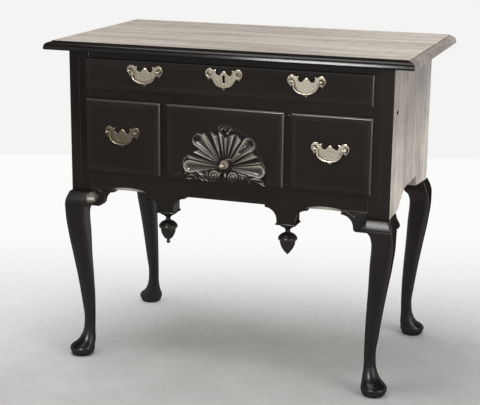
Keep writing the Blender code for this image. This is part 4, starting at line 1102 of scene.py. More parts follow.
# Drawer fronts: a thumbnail lip all round, a small fillet, then the field
lipShape = {"overlap": 0.006, "play": 0.001, "edge": 0.003, "round": 0.0045, "fillet": 0.0006, "steps": 9,
            "corner": 0.0007, "wearAndSheen": 0.34, "sharp": 30, "shadowAbove": 0.02, "shadowTilt": 0.04,
            "facingTilt": 0.25, "topWearAndHighlight": 1.0, "rightHighlight": 0.75}


def frontRings(node, shape):
    low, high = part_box(node)
    lipBack = frontY - gap
    body = shape["overlap"] + shape["play"]
    levels = [(body + 0.0004, high.y), (body, high.y - 0.0004), (body, lipBack), (0.0003, lipBack),
              (0.0, lipBack - 0.0003)]
    flat = low.y + shape["fillet"]
    rounded = lipBack - shape["edge"]
    thumb = arc((shape["round"], 0.0), (-shape["round"], rounded - flat), 0, 90, shape["steps"])
    levels += [(inset, rounded - forward) for inset, forward in thumb]
    levels += [(shape["round"] + 0.0003, flat), (shape["round"] + 0.0004, low.y + 0.0001)]
    levels += [(shape["round"] + 0.0006, low.y)]
    rings = []
    for inset, y in levels:
        ring = roundedRing(low.x + inset, low.z + inset, high.x - inset, high.z - inset,
                           shape["corner"], 0.0, 3)
        rings.append([(px, y, pz) for px, pz, _ in ring])
    return rings


def closedEdges(loop):
    return [edge for a, b in zip(loop, loop[1:] + loop[:1])
            for edge in a.link_edges if edge.other_vert(a) is b]


def fillBetween(bm, outer, holes):
    edges = closedEdges(outer)
    for hole in holes:
        for a, b in zip(hole, hole[1:] + hole[:1]):
            if not any(edge.other_vert(a) is b for edge in a.link_edges):
                bm.edges.new((a, b))
        edges += closedEdges(hole)
    bmesh.ops.triangle_fill(bm, use_beauty=True, use_dissolve=False, edges=edges)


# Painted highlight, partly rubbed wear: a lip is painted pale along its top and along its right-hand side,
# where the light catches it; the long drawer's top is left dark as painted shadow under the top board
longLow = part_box("long_drawer_front")[0].z


def lipWearAndHighlight(normal, middle):
    if not askew(normal):
        return 0.0
    if normal.z > lipShape["facingTilt"]:
        return lipShape["topWearAndHighlight"] if middle.z < longLow else 0.0
    return lipShape["rightHighlight"] if normal.x > lipShape["facingTilt"] else 0.0


# The long drawer's upper edge is made matt as painted shadow under the top board; the other fronts have no
# face so high
def frontFinish(normal, middle):
    return 1 if normal.z > lipShape["shadowTilt"] and middle.z > longLow + lipShape["shadowAbove"] else 0


def makeFront(node, name, holes):
    low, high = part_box(node)
    bm = bmesh.new()
    loops = addLoft(bm, frontRings(node, lipShape), False)
    bores = [addLoft(bm, [[(x, y, z) for x, z in outline] for y in (low.y, high.y)], False)
             for outline in holes]
    fillBetween(bm, loops[-1], [pair[0] for pair in bores])
    fillBetween(bm, loops[0], [pair[1] for pair in bores])
    return rubAndSheen(meshFrom(bm, name, lipShape["sharp"]), lipShape["wearAndSheen"], lipWearAndHighlight)


# Brasses: the holes bored for them, then each handle's drawer, node, and place on the front
brassShape = {"posts": 0.069, "shank": 0.0022, "pin": 0.0009, "plate": 0.0015, "standoff": 0.008,
              "eye": 0.0021, "drill": 0.16, "keyHead": 0.0034, "keySlot": 0.0056, "keyLength": 0.0136,
              "keyDrop": 0.0056}
handles = {"longLeft": ("long_drawer", "long_left", -0.1895, 0.70025),
           "longRight": ("long_drawer", "long_right", 0.1895, 0.70025),
           "left": ("left_drawer", "left", -0.24625, 0.556),
           "right": ("right_drawer", "right", 0.24625, 0.556)}
escutcheonZ = 0.70375


def keyhole(shape, x, z):
    half = shape["keySlot"] / 2
    opening = math.degrees(math.asin(half / shape["keyHead"]))
    head = arc((x, z - shape["keyDrop"]), (shape["keyHead"],) * 2, -90 + opening, 270 - opening, 20)
    low = z - shape["keyDrop"] - shape["keyLength"]
    return head + [(x - half, low), (x + half, low)]


def boreHole(x, z, radius):
    return oval((x, z), (radius + gap, radius + gap), 16)


for drawer in ("long_drawer", "left_drawer", "right_drawer"):
    holes = []
    for owner, _, x, z in handles.values():
        if owner == drawer:
            holes += [boreHole(x + s * brassShape["posts"] / 2, z, brassShape["shank"]) for s in (-1, 1)]
    if drawer == "long_drawer":
        holes.append(keyhole(brassShape, 0.0, escutcheonZ))
        holes += [boreHole(s * brassShape["posts"] / 2, escutcheonZ, brassShape["pin"]) for s in (-1, 1)]
    title = drawer.split("_")[0] + "DrawerFront"
    mesh = makeFront(f"{drawer}_front", title, holes)
    place(title, mesh, [darkWalnut, mattShadowWalnut], drawer, [f"{drawer}_front"])
    paintFaces(mesh, frontFinish)

# Carved shell: dished petals, sawtooth rays and scrolls in a shallow niche on the centre drawer.
# The carver's lists, the hub and the knob's seat are in millimetres from the knob, as (x, z).
shellShape = {"z": 0.499, "niche": 0.101, "sill": 0.4645, "depth": 0.0062, "cove": (0.005, 0.026),
              "coveRise": (-0.01, 0.03),
              "sillCove": 0.0016, "bore": 0.0025, "hub": 13.0, "knobSeat": 9.5, "hubHeight": 0.0044,
              "around": 640, "outward": 128, "toeAcross": 420, "toeUp": 18, "toeSide": 0.003, "sharp": 60,
              "wearAndSheen": 1.0, "lipWearAndSheen": 0.26, "leastWorn": 0.00001}
shellPetals = [  # root, middle of the round end, its radius, height
    ((-17, -7), (-82, -10), 15.5, 6.6), ((19, -7), (82, -9), 15.5, 6.6),
    ((-15, 8), (-60, 52), 16.5, 6.8), ((17, 9), (59, 51), 16.5, 6.8)]
shellRays = [  # root, lower corner of the tip, upper corner, place of the ridge between them, height
    ((-18, -1), (-89, 8), (-84, 14), 0.45, 5.4), ((-16, 3), (-76, 23), (-60, 30), 0.22, 6.6),
    ((-12, 13), (-54, 65), (-46, 71), 0.40, 6.2), ((-9, 15), (-34, 71), (-16, 62), 0.45, 6.4),
    ((-1, 15), (-14, 76), (-4, 67), 0.25, 6.6), ((3, 15), (-3, 62), (9, 60), 0.55, 5.2),
    ((7, 15), (26, 70), (10, 67), 0.25, 6.2), ((12, 15), (41, 57), (29, 71), 0.28, 6.6),
    ((17, 8), (39, 26), (29, 35), 0.35, 5.6), ((19, 1), (80, 23), (61, 31), 0.22, 6.6),
    ((21, -2), (89, 8), (83, 14), 0.45, 5.2)]
shellStrokes = [  # line, width, height
    ([(-13, 79), (-12, 86), (-6, 91), (2, 92.5), (10, 90), (15, 85.5), (19, 80)], 3.0, 5.4),
    ([(-9, 78), (-5, 82), (0, 86)], 3.2, 5.8), ([(8, 72), (8.5, 73)], 5.5, 7.4),
    ([(3, 60), (3, 61.5)], 4.6, 6.6), ([(11, 77), (14, 80.5), (13, 85)], 2.8, 5.2),
    ([(2, 78), (3, 82), (6, 85)], 2.4, 5.4), ([(1, 85), (1, 86)], 3.0, 6.0),
    ([(-33, 34), (-43, 47), (-52, 61)], 2.4, 5.6), ([(36, 36), (46, 44), (53, 47)], 2.6, 5.0),
    ([(45, 28), (56, 35), (67, 36)], 2.6, 5.4), ([(44, 55), (50, 48), (49, 42)], 2.2, 5.0),
    ([(5, 11.5), (16, 14.5)], 3.4, 5.8), ([(-86, 15), (-95, 8), (-98, -4), (-96, -14)], 3.2, 6.4),
    ([(87, 14), (95, 7), (98, -3), (97, -12)], 3.2, 6.4),
    ([(3, -20), (3, -24), (4, -27)], 5.5, 6.0), ([(-9, -18), (-10, -23), (-13, -27)], 3.0, 5.4),
    ([(-66, -19), (-60, -23), (-50, -31), (-39, -40)], 5.2, 6.2),
    ([(-57, -21), (-52, -26), (-47, -28)], 3.4, 5.4),
    ([(-43, -19), (-39, -27), (-37, -35), (-30, -39)], 3.4, 5.4),
    ([(-88, -33), (-83, -29.5), (-76, -28.5), (-70, -31), (-66, -35)], 4.2, 6.6),
    ([(-95, -21), (-92, -27), (-93, -34)], 3.0, 5.0), ([(34, -18), (44, -20), (53, -22)], 3.0, 5.6),
    ([(43, -24), (45, -28), (46, -31)], 5.0, 6.2), ([(58, -19), (66, -20)], 3.2, 5.6),
    ([(36, -25), (39, -31), (36, -36)], 3.0, 5.0),
    ([(60, -35), (65, -28), (73, -25), (84, -27), (91, -31), (95, -35)], 4.6, 6.6),
    ([(54, -27), (57, -32), (62, -36)], 3.2, 5.2), ([(70, -31), (78, -32), (84, -34)], 2.8, 5.0),
    ([(80, -33), (87, -34.5), (93, -37.5), (96, -40)], 5.0, 6.4),
    ([(-64, -36), (-58, -34), (-52, -37), (-49, -40)], 4.2, 6.0),
    ([(-89, -37), (-83, -38.5), (-76, -37)], 3.6, 6.0)]
shellVolutes = [(-24, -26.5, 12.5, -1), (22, -26.5, 12.0, 1)]  # middle, radius, hand


def smooth(low, high, value):
    t = np.clip((value - low) / (high - low), 0.0, 1.0)
    return t * t * (3 - 2 * t)


# A ridge along a line of points, round in section and tapered to both ends
def stroke(x, z, points, width, height):
    best = np.zeros_like(x)
    lengths = [math.dist(a, b) for a, b in zip(points, points[1:])]
    total = sum(lengths)
    done = 0.0
    for (ax, az), (bx, bz), length in zip(points, points[1:], lengths):
        t = np.clip(((x - ax) * (bx - ax) + (z - az) * (bz - az)) / length ** 2, 0.0, 1.0)
        away = np.hypot(x - ax - t * (bx - ax), z - az - t * (bz - az))
        wide = width / 2 * (0.6 + 0.4 * np.sin(math.pi * (done + t * length) / total))
        best = np.maximum(best, height * np.sqrt(np.clip(1 - (away / wide) ** 2, 0.0, 1.0)))
        done += length
    return best


# A petal widens from its root to a round end; it is dished inside a raised rim
petalShape = {"root": 2.5, "widening": 1.1, "floor": 0.20, "dish": 0.72, "dishReach": 0.86, "rim": 0.16,
              "rimAt": 0.88, "rimWidth": 0.07, "wallFrom": 0.90, "rootHeight": 0.55, "endHeight": 0.45}


def petal(shape, x, z, root, end, radius, height):
    reach = math.dist(root, end)
    ux, uz = (end[0] - root[0]) / reach, (end[1] - root[1]) / reach
    along = (x - root[0]) * ux + (z - root[1]) * uz
    aside = -(x - root[0]) * uz + (z - root[1]) * ux
    share = np.clip(along / reach, 0.0, 1.0)
    half = shape["root"] + (radius - shape["root"]) * share ** shape["widening"]
    out = np.hypot(np.maximum(along - reach, 0.0), aside) / half
    dish = shape["floor"] + shape["dish"] * np.clip(out / shape["dishReach"], 0.0, 1.0) ** 2
    rim = np.exp(-((out - shape["rimAt"]) / shape["rimWidth"]) ** 2) * shape["rim"]
    wall = 1 - smooth(shape["wallFrom"], 1.0, out)
    made = height * (dish * (shape["rootHeight"] + shape["endHeight"] * share) + rim) * wall
    return np.where((along > 0.0) & (out < 1.0), made, 0.0)


# A ray is a wedge from its root to a slanting tip, steep below its ridge and a broad slope above it
def ray(x, z, root, lower, upper, ridge, height):
    ax, az = lower[0] - root[0], lower[1] - root[1]
    bx, bz = upper[0] - root[0], upper[1] - root[1]
    turn = ax * bz - az * bx
    alpha = ((x - root[0]) * bz - (z - root[1]) * bx) / turn
    beta = (ax * (z - root[1]) - az * (x - root[0])) / turn
    share = alpha + beta
    t = beta / np.where(np.abs(share) < 1e-9, 1e-9, share)
    slope = np.where(t < ridge, t / ridge, (1 - t) / (1 - ridge))
    made = height * (0.18 + 0.82 * np.clip(slope, 0.0, 1.0)) * (0.45 + 0.55 * np.clip(share, 0.0, 1.0))
    return np.where((alpha >= 0) & (beta >= 0) & (share <= 1), made, 0.0)


# A scroll's coil winds out from a round eye
voluteShape = {"pitch": 0.46, "ridge": 0.30, "eye": 0.22, "eyeHeight": 5.0, "ground": 1.2, "rise": 4.4}


def volute(shape, x, z, cx, cz, radius, hand):
    away = np.hypot(x - cx, z - cz)
    angle = np.arctan2(z - cz, hand * (x - cx))
    coil = np.mod(away / (shape["pitch"] * radius) - angle / (2 * math.pi), 1.0)
    ridge = np.sqrt(np.clip(1 - ((coil - 0.5) / shape["ridge"]) ** 2, 0.0, 1.0))
    eye = shape["eyeHeight"] * np.sqrt(np.clip(1 - (away / (shape["eye"] * radius)) ** 2, 0.0, 1.0))
    return np.where(away < radius, np.maximum(shape["ground"] + shape["rise"] * ridge, eye), 0.0)


def shellRelief(x, z):
    made = np.zeros_like(x)
    for root, end, radius, height in shellPetals:
        made = np.maximum(made, petal(petalShape, x, z, root, end, radius, height))
    for root, lower, upper, ridge, height in shellRays:
        made = np.maximum(made, ray(x, z, root, lower, upper, ridge, height))
    for points, width, height in shellStrokes:
        made = np.maximum(made, stroke(x, z, points, width, height))
    for cx, cz, radius, hand in shellVolutes:
        made = np.maximum(made, volute(voluteShape, x, z, cx, cz, radius, hand))
    away = np.hypot(x, z)
    seat = shellShape["hubHeight"] * 1000
    made = np.where(away < shellShape["hub"], np.minimum(made, 1.0), made)
    return np.where(away < shellShape["knobSeat"], seat, made)


# How far the niche goes from the knob: round above, straight sides and a sill below
def nicheReach(shape, angle):
    across, up = math.cos(angle), math.sin(angle)
    if up >= 0:
        return shape["niche"]
    toSill = (shape["z"] - shape["sill"]) / max(-up, 1e-6)
    return min(shape["niche"] / max(abs(across), 1e-6), toSill)


# Hands and dusters rub the carving's ridges and high ground bare and leave its hollows dark
wornShape = {"passes": 10, "ridge": 0.0007, "high": 0.006, "power": 1.7, "least": 0.06, "byHeight": 0.84,
             "byRidge": 0.24, "even": 0.95, "blotchy": 0.40, "lowest": 0.0004}


def carvedWear(shape, relief, x, z):
    spread = relief.copy()
    for _ in range(shape["passes"]):
        spread[1:-1] = (spread[:-2] + 2 * spread[1:-1] + spread[2:]) / 4
        spread = (np.roll(spread, 1, 1) + 2 * spread + np.roll(spread, -1, 1)) / 4
    ridge = np.clip((relief - spread) / shape["ridge"], -1.0, 1.0)
    blotch = np.sin(900 * x + 2 * np.sin(330 * z)) * np.sin(820 * z + 2 * np.sin(290 * x))
    paleShare = shape["least"] + shape["byHeight"] * (relief / shape["high"]) ** shape["power"]
    paleShare = (paleShare + shape["byRidge"] * ridge) * (shape["even"] + shape["blotchy"] * blotch)
    return np.where(relief > shape["lowest"], np.clip(paleShare, 0.0, 1.0), 0.0)


def makeShellFront(shape):
    low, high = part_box("centre_drawer_front")
    bm = bmesh.new()
    angles = [2 * math.pi * (i + 0.5) / shape["around"] for i in range(shape["around"])]
    reach = np.array([nicheReach(shape, angle) for angle in angles])
    shares = np.linspace(0.0, 1.0, shape["outward"])[:, None]
    radii = shape["bore"] + (reach[None, :] - shape["bore"]) * shares
    x = radii * np.cos(angles)[None, :]
    z = radii * np.sin(angles)[None, :]
    edge = np.where(z < 0, shape["niche"] - np.abs(x), reach[None, :] - radii)
    sharpCove, softCove = shape["cove"]
    cove = sharpCove + (softCove - sharpCove) * smooth(*shape["coveRise"], z)
    toSill = np.where(z < 0, z + shape["z"] - shape["sill"], 1.0)
    ground = np.minimum(smooth(0.0, 1.0, edge / cove), smooth(0.0, 1.0, toSill / shape["sillCove"]))
    wall = shape["depth"] * (1 - ground)
    relief = shellRelief(x * 1000, z * 1000) / 1000
    soft = relief.copy()  # the gouge leaves no corner sharper than its own sweep
    soft[1:-1] = (relief[:-2] + 2 * relief[1:-1] + relief[2:]) / 4
    relief = (np.roll(soft, 1, 1) + 2 * soft + np.roll(soft, -1, 1)) / 4
    height = np.maximum(relief, wall)
    height[-1] = shape["depth"]
    rings = []
    for i in range(shape["outward"]):
        rings.append([(px, low.y + shape["depth"] - h, shape["z"] + pz)
                      for px, pz, h in zip(x[i], z[i], height[i])])
    back = [(point[0], high.y, point[2]) for point in rings[0]]
    layer = bm.verts.layers.float.new("carved")
    loops = addLoft(bm, frontRings("centre_drawer_front", lipShape), False)
    carved = addLoft(bm, [back] + rings, False)
    for ring, raised, sunk in zip(carved[1:], carvedWear(wornShape, relief, x, z), 1 - ground):
        for vert, bare, hidden in zip(ring, raised, sunk):
            vert[layer] = max(shape["leastWorn"], shape["wearAndSheen"] * min(1.0, max(0.0, bare - hidden)))
    fillBetween(bm, loops[-1], [carved[-1]])
    fillBetween(bm, loops[0], [carved[0]])
    return rubAndSheen(meshFrom(bm, "centreDrawerFront", shape["sharp"]), shape["lipWearAndSheen"], lipWearAndHighlight)


# The lowest scrolls lap over the drawer's lower lip
def makeShellToe(shape):
    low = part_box("centre_drawer_front")[0]
    span = shape["niche"] - shape["toeSide"]
    foot, head = low.z + 0.0003 - shape["z"], shape["sill"] + 0.0009 - shape["z"]
    x, z = np.meshgrid(np.linspace(-span, span, shape["toeAcross"]), np.linspace(foot, head, shape["toeUp"]))
    relief = shellRelief(x * 1000, z * 1000) / 1000
    paleShare = carvedWear(wornShape, relief, x, z)
    back = low.y + shape["depth"] + 0.0006
    bm = bmesh.new()
    layer = bm.verts.layers.float.new("carved")
    rings = []
    for i in range(shape["toeAcross"]):
        ring = [(px, low.y + shape["depth"] - h, shape["z"] + pz)
                for px, h, pz in zip(x[:, i], relief[:, i], z[:, i])]
        rings.append(ring + [(ring[-1][0], back, ring[-1][2]), (ring[0][0], back, ring[0][2])])
    for loop, column in zip(addLoft(bm, rings), paleShare.T):
        for vert, bare in zip(loop, column):
            vert[layer] = max(shape["leastWorn"], shape["wearAndSheen"] * bare)
    return rubAndSheen(meshFrom(bm, "centreDrawerScrolls", shape["sharp"]), 0.0)


place("centreDrawerFront", makeShellFront(shellShape), [carvedWalnut], "centre_drawer",
      ["centre_drawer_front"])
place("centreDrawerScrolls", makeShellToe(shellShape), [carvedWalnut], "centre_drawer")
print("drawer fronts made")

# Inlay on the fronts: a feather band between two fine lines, and one line down each stile
inlayShape = {"inset": 0.0125, "line": 0.0011, "band": 0.0046, "pitch": 0.0034, "depth": 0.0004,
              "proud": 0.00008, "stileIn": 0.024, "stileFrom": 0.432, "stileTo": 0.726}


# A line let in along a path, its middle at the depth y
def inlaid(name, path, shape, width, y, finish):
    return grown(name, inlayTree, *path, {"Width": width, "Depth": shape["depth"], "Stand": (0.0, y, 0.0),
                                          "Finish": finish})


def rectangle(low, high, inset):
    points = [(low.x + inset, low.z + inset, 0.0), (high.x - inset, low.z + inset, 0.0),
              (high.x - inset, high.z - inset, 0.0), (low.x + inset, high.z - inset, 0.0)]
    return points, [(0, 1), (1, 2), (2, 3), (3, 0)]


for drawer in ("long", "left", "centre", "right"):
    low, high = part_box(f"{drawer}_drawer_front")
    half = inlayShape["depth"] / 2
    wide = inlayShape["line"] * math.sqrt(2)  # a line thins at its mitred corners
    lines = [inlaid(f"{drawer}Line", rectangle(low, high, inset), inlayShape, wide,
                    low.y + half - inlayShape["proud"], stringing)
             for inset in (inlayShape["inset"], inlayShape["inset"] - inlayShape["band"])]
    mesh = joined(f"{drawer}Stringing", lines)
    place(f"{drawer}Stringing", mesh, [stringing], f"{drawer}_drawer")
    points, edges = rectangle(low, high, inlayShape["inset"] - inlayShape["band"] / 2)
    mesh = grown(f"{drawer}Feather", featherTree, points, edges,
                 {"Band": inlayShape["band"] - inlayShape["line"], "Pitch": inlayShape["pitch"],
                  "Depth": inlayShape["depth"], "Stand": (0.0, low.y + half - inlayShape["proud"] / 2, 0.0),
                  "Finish": featherWood})
    place(f"{drawer}FeatherBand", mesh, None, f"{drawer}_drawer")
stileLines = []
for sign in (-1, 1):
    x = sign * (caseX - inlayShape["stileIn"])
    ends = [(x, inlayShape["stileFrom"], 0.0), (x, inlayShape["stileTo"], 0.0)]
    stileLines.append(inlaid("stileLine", (ends, [(0, 1)]), inlayShape, inlayShape["line"],
                             frontY + inlayShape["depth"] / 2 - inlayShape["proud"], stringing))
place("stileStringing", joined("stileStringing", stileLines), [stringing], "case")
print("inlay made")

# Drawer linings: pine boards, dovetailed to the fronts and at the back corners
liningShape = {"arris": 0.0007, "thickness": 0.0008, "pitch": 0.030,
               "tailLong": 0.010, "tailIn": 0.0055, "tailRoot": 0.62, "tailEnd": 0.80,
               "pinLong": 0.0098, "pinIn": 0.0052, "pinRoot": 0.008, "pinEnd": 0.005}


def tailShape(name, depth, root, end, thickness):
    flat = [(-depth / 2, -root / 2), (depth / 2, -end / 2), (depth / 2, end / 2), (-depth / 2, root / 2)]
    eased = 0.985  # the outer face is a hair smaller
    rings = [[(-thickness / 2, y, z) for y, z in flat],
             [(thickness / 2, y * eased, z * eased) for y, z in flat]]
    return linked(name, loftMesh(name, rings))


for drawer in ("long", "left", "centre", "right"):
    body = f"{drawer}_drawer"
    for board, finish in (("left_side", planedPine), ("right_side", planedPine), ("back", planedPineAcross),
                          ("bottom", planedPineAcross)):
        node = f"{body}_{board}"
        title = f"{drawer}Drawer" + "".join(word.capitalize() for word in board.split("_"))
        placeBoard(title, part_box(node), liningShape["arris"], finish, body, node)
    low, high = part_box(f"{body}_left_side")
    sides = (low.x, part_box(f"{body}_right_side")[1].x)
    count = max(2, round((high.z - low.z) / liningShape["pitch"]))
    pitch = (high.z - low.z) / count
    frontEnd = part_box(f"{body}_front")[1].y
    tails = [(x, frontEnd - liningShape["tailIn"], low.z + pitch * (k + 0.5))
             for k in range(count) for x in sides]
    pins = [(x, high.y - liningShape["pinIn"], low.z + pitch * k) for k in range(1, count) for x in sides]
    tail = tailShape("tail", liningShape["tailLong"], liningShape["tailRoot"] * pitch,
                     liningShape["tailEnd"] * pitch, liningShape["thickness"])
    placeFittings(f"{drawer}DrawerTails", tail, tails, (0.0, 0.0, math.pi), planedPine, body)
    pin = tailShape("pin", liningShape["pinLong"], liningShape["pinRoot"], liningShape["pinEnd"],
                    liningShape["thickness"])
    placeFittings(f"{drawer}DrawerPins", pin, pins, (0.0, 0.0, 0.0), planedPineAcross, body)
print("linings made")

# Handle plates: bat-wing outline, half drawn from the peak to the tip in millimetres
plateShape = {"arris": 0.0004, "half": [(0.0, 7.2), (1.6, 6.8), (3.4, 5.3), (5.0, 3.4), (6.4, 1.9)],
              "notch": ((12.8, 3.5), 6.2, 205, 345),
              "horn": [(19.4, 4.6), (19.6, 6.6), (18.2, 9.4), (19.4, 9.9), (22.0, 8.4)],
              "ear": ((33.0, 1.2), (10.0, 11.2), 132, -52),
              "wing": [(37.6, -10.6), (35.8, -14.3), (34.6, -12.6), (32.5, -10.2), (30.0, -9.9),
                       (27.6, -11.2), (25.8, -13.8), (23.5, -17.5), (20.8, -21.9), (17.5, -25.2),
                       (13.8, -27.3), (10.0, -28.5), (6.8, -29.0), (4.4, -29.6), (3.0, -31.0),
                       (2.4, -32.6), (1.4, -34.3), (0.0, -35.0)]}
# An engraved line that follows the bail's swing across each plate, in metres
borderShape = {"middle": (0.0, -0.0060), "radii": (0.0240, 0.0190), "from": 172, "to": 368, "steps": 40,
               "width": 0.0007, "depth": 0.0003, "sunk": 0.0001}


def plateOutline(shape):
    centre, radius, start, end = shape["notch"]
    half = list(shape["half"]) + arc(centre, (radius, radius), start, end, 14) + shape["horn"]
    centre, radii, start, end = shape["ear"]
    half += arc(centre, radii, start, end, 22) + shape["wing"]
    half = [(x / 1000, z / 1000) for x, z in half]
    return half + mirrored(half[1:-1])


def plateMesh(name, x, z, face, holes):
    outline = [(px + x, pz + z) for px, pz in plateOutline(plateShape)]
    thick = brassShape["plate"]
    stand = Matrix.Translation((0.0, face + thick / 2, 0.0)) @ onFront
    return sawn(name, [outline] + holes, thick, plateShape["arris"], stand)


# Profiles for turning: radius, and how far out of the plate
postProfile = [(0.0004, 0.0125), (0.0016, 0.0121), (0.0028, 0.0115), (0.0037, 0.0106), (0.0043, 0.0094),
               (0.0045, 0.0080), (0.0043, 0.0066), (0.0037, 0.0054), (0.0029, 0.0045), (0.0024, 0.0036),
               (0.0024, 0.0026), (0.0030, 0.0018), (0.0034, 0.0010), (0.0034, 0.0001), (0.0022, 0.0001),
               (0.0022, -0.0257), (0.0050, -0.0258), (0.0050, -0.0294), (0.0046, -0.0298), (0.0004, -0.0298)]
rosetteProfile = [(0.0064, 0.00005), (0.0063, 0.0005), (0.0060, 0.0007), (0.0056, 0.0005), (0.0050, 0.00025),
                  (0.0040, 0.00022), (0.0035, 0.0004), (0.0035, 0.00005)]
bailShape = {"radius": 0.0015, "swell": 0.0004, "sides": 14, "reach": 0.0275, "drop": 0.027, "elbow": 0.0020}


def bailPath(shape, x, y, z):
    neck = shape["drop"] / 3
    half = [(brassShape["posts"] / 2 + 0.0022, 0.0)]
    half += arc((shape["reach"] + shape["elbow"], -shape["elbow"]), (shape["elbow"],) * 2, 90, 180, 5)
    half += arc((0.0, -neck), (shape["reach"], shape["drop"] - neck), 0, -90, 24)
    path = half + [(-px, pz) for px, pz in reversed(half[:-1])]
    points = [(x + px, y, z + pz) for px, pz in path]
    return points, [(i, i + 1) for i in range(len(points) - 1)]


def borderPath(shape, x, z):
    line = arc(shape["middle"], shape["radii"], shape["from"], shape["to"], shape["steps"])
    return [(px + x, pz + z, 0.0) for px, pz in line], [(i, i + 1) for i in range(len(line) - 1)]


for title, (owner, node, x, z) in handles.items():
    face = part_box(f"{owner}_front")[0].y - gap - brassShape["plate"]
    plate = plateMesh(f"{title}Plate", x, z, face, [])
    place(f"{title}Plate", plate, [brasses[title]], owner, [f"{node}_plate"])
    spots = [(x + s * brassShape["posts"] / 2, face, z) for s in (-1, 1)]
    post = fittingShape("post", postProfile, 24)
    posts = setFittings(f"{title}Posts", post, spots, toFront, brasses[title])
    stand = Matrix.Translation((x, face - brassShape["standoff"], z)) @ Matrix.Rotation(math.pi / 2, 4, "Y")
    half = brassShape["drill"] / 2  # one long drill makes the eyes that the bail hangs in
    drill = turnedMesh("eye", [(brassShape["eye"], -half), (brassShape["eye"], half)], 16, stand)
    place(f"{title}Posts", cutAway(posts, drill), None, owner)
    rosette = fittingShape("rosette", rosetteProfile, 28)
    placeFittings(f"{title}Rosettes", rosette, spots, toFront, tarnishedBrass, owner)
    border = inlaid(f"{title}Border", borderPath(borderShape, x, z), borderShape, borderShape["width"],
                    face + borderShape["sunk"], tarnishedBrass)
    place(f"{title}Border", border, None, owner)
    points, edges = bailPath(bailShape, x, face - brassShape["standoff"], z)
    bail = grown(f"{title}Bail", rodTree, points, edges,
                 {"Radius": bailShape["radius"], "Swell": bailShape["swell"], "Sides": bailShape["sides"],
                  "Finish": brasses[title]})
    place(f"{title}Bail", bail, None, f"{node}_bail", [f"{node}_bail"])

# Escutcheon over the keyhole, held by two domed pins
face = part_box("long_drawer_front")[0].y - gap - brassShape["plate"]
escutcheon = plateMesh("escutcheonPlate", 0.0, escutcheonZ, face, [keyhole(brassShape, 0.0, escutcheonZ)])
place("escutcheonPlate", escutcheon, [castBrass], "long_drawer", ["escutcheon"])
pinProfile = [(0.0002, 0.0011), (0.0009, 0.0010), (0.0016, 0.0006), (0.0020, 0.00005), (0.0009, 0.00005),
              (0.0009, -0.009), (0.0002, -0.009)]
spots = [(s * brassShape["posts"] / 2, face, escutcheonZ) for s in (-1, 1)]
pin = fittingShape("pin", pinProfile, 16)
placeFittings("escutcheonPins", pin, spots, toFront, castBrass, "long_drawer")
rosette = fittingShape("rosette", rosetteProfile, 28)
placeFittings("escutcheonRosettes", rosette, spots, toFront, shadedDullBrass, "long_drawer")

# Knob in the middle of the shell: a brass ball on a waisted stem, with its shank and nut
low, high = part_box("centre_drawer_front")
knobShape = {"radius": 0.0075, "reach": 0.012, "steps": 40, "shank": 0.0022, "nut": 0.0050, "nutLong": 0.0043,
             "sharp": 40}
seat = low.y + shellShape["depth"] - shellShape["hubHeight"]
inside = seat - high.y  # the drawer's inner face, seen from the seat
ball = arc((0.0, knobShape["reach"]), (knobShape["radius"],) * 2, 88, -58, 18)
stem = [(0.0031, 0.0044), (0.0030, 0.0034), (0.0034, 0.0020), (0.0043, 0.0012), (0.0047, 0.0006),
        (0.0047, gap)]
shank = [(knobShape["shank"], gap), (knobShape["shank"], inside - gap), (knobShape["nut"], inside - gap),
         (knobShape["nut"], inside - knobShape["nutLong"] + 0.0004),
         (knobShape["nut"] - 0.0004, inside - knobShape["nutLong"]), (0.0004, inside - knobShape["nutLong"])]
stand = Matrix.Translation((0.0, seat, shellShape["z"])) @ Matrix.Rotation(math.pi / 2, 4, "X")
mesh = turnedMesh("shellKnob", ball + stem + shank, knobShape["steps"], stand, knobShape["sharp"])
place("shellKnob", mesh, [castBrass], "centre_drawer", ["shell_knob"])

# Lock: a riveted iron case behind the long drawer's front, its bolt shooting up into the rail
lockShape = {"arris": 0.0006, "slack": 0.0005, "throw": 0.007, "pocketArris": 0.0002, "rivetX": 0.024,
             "rivetIn": 0.006}
low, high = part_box("lock_case")
boltLow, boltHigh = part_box("lock_bolt")
mesh = boardMesh("lockCase", low, high, lockShape["arris"])
slack = Vector((lockShape["slack"],) * 3)
thrown = Vector((0.0, 0.0, lockShape["throw"]))
pocket = boardMesh("pocket", boltLow - slack, boltHigh + slack + thrown, lockShape["pocketArris"])
place("lockCase", cutAway(mesh, pocket), [forgedIron], "long_drawer", ["lock_case"])
placeBoard("lockBolt", (boltLow, boltHigh), lockShape["arris"], forgedIron, "lock_bolt", "lock_bolt")
rivet = fittingShape("rivet", [(0.0002, 0.0011), (0.0012, 0.0009), (0.0020, 0.0005), (0.0022, 0.00005)], 14)
spots = [(x, high.y, z) for x in (-lockShape["rivetX"], lockShape["rivetX"])
         for z in (low.z + lockShape["rivetIn"], high.z - lockShape["rivetIn"])]
placeFittings("lockRivets", rivet, spots, toBack, forgedIron, "long_drawer")
print("brasses and lock made")

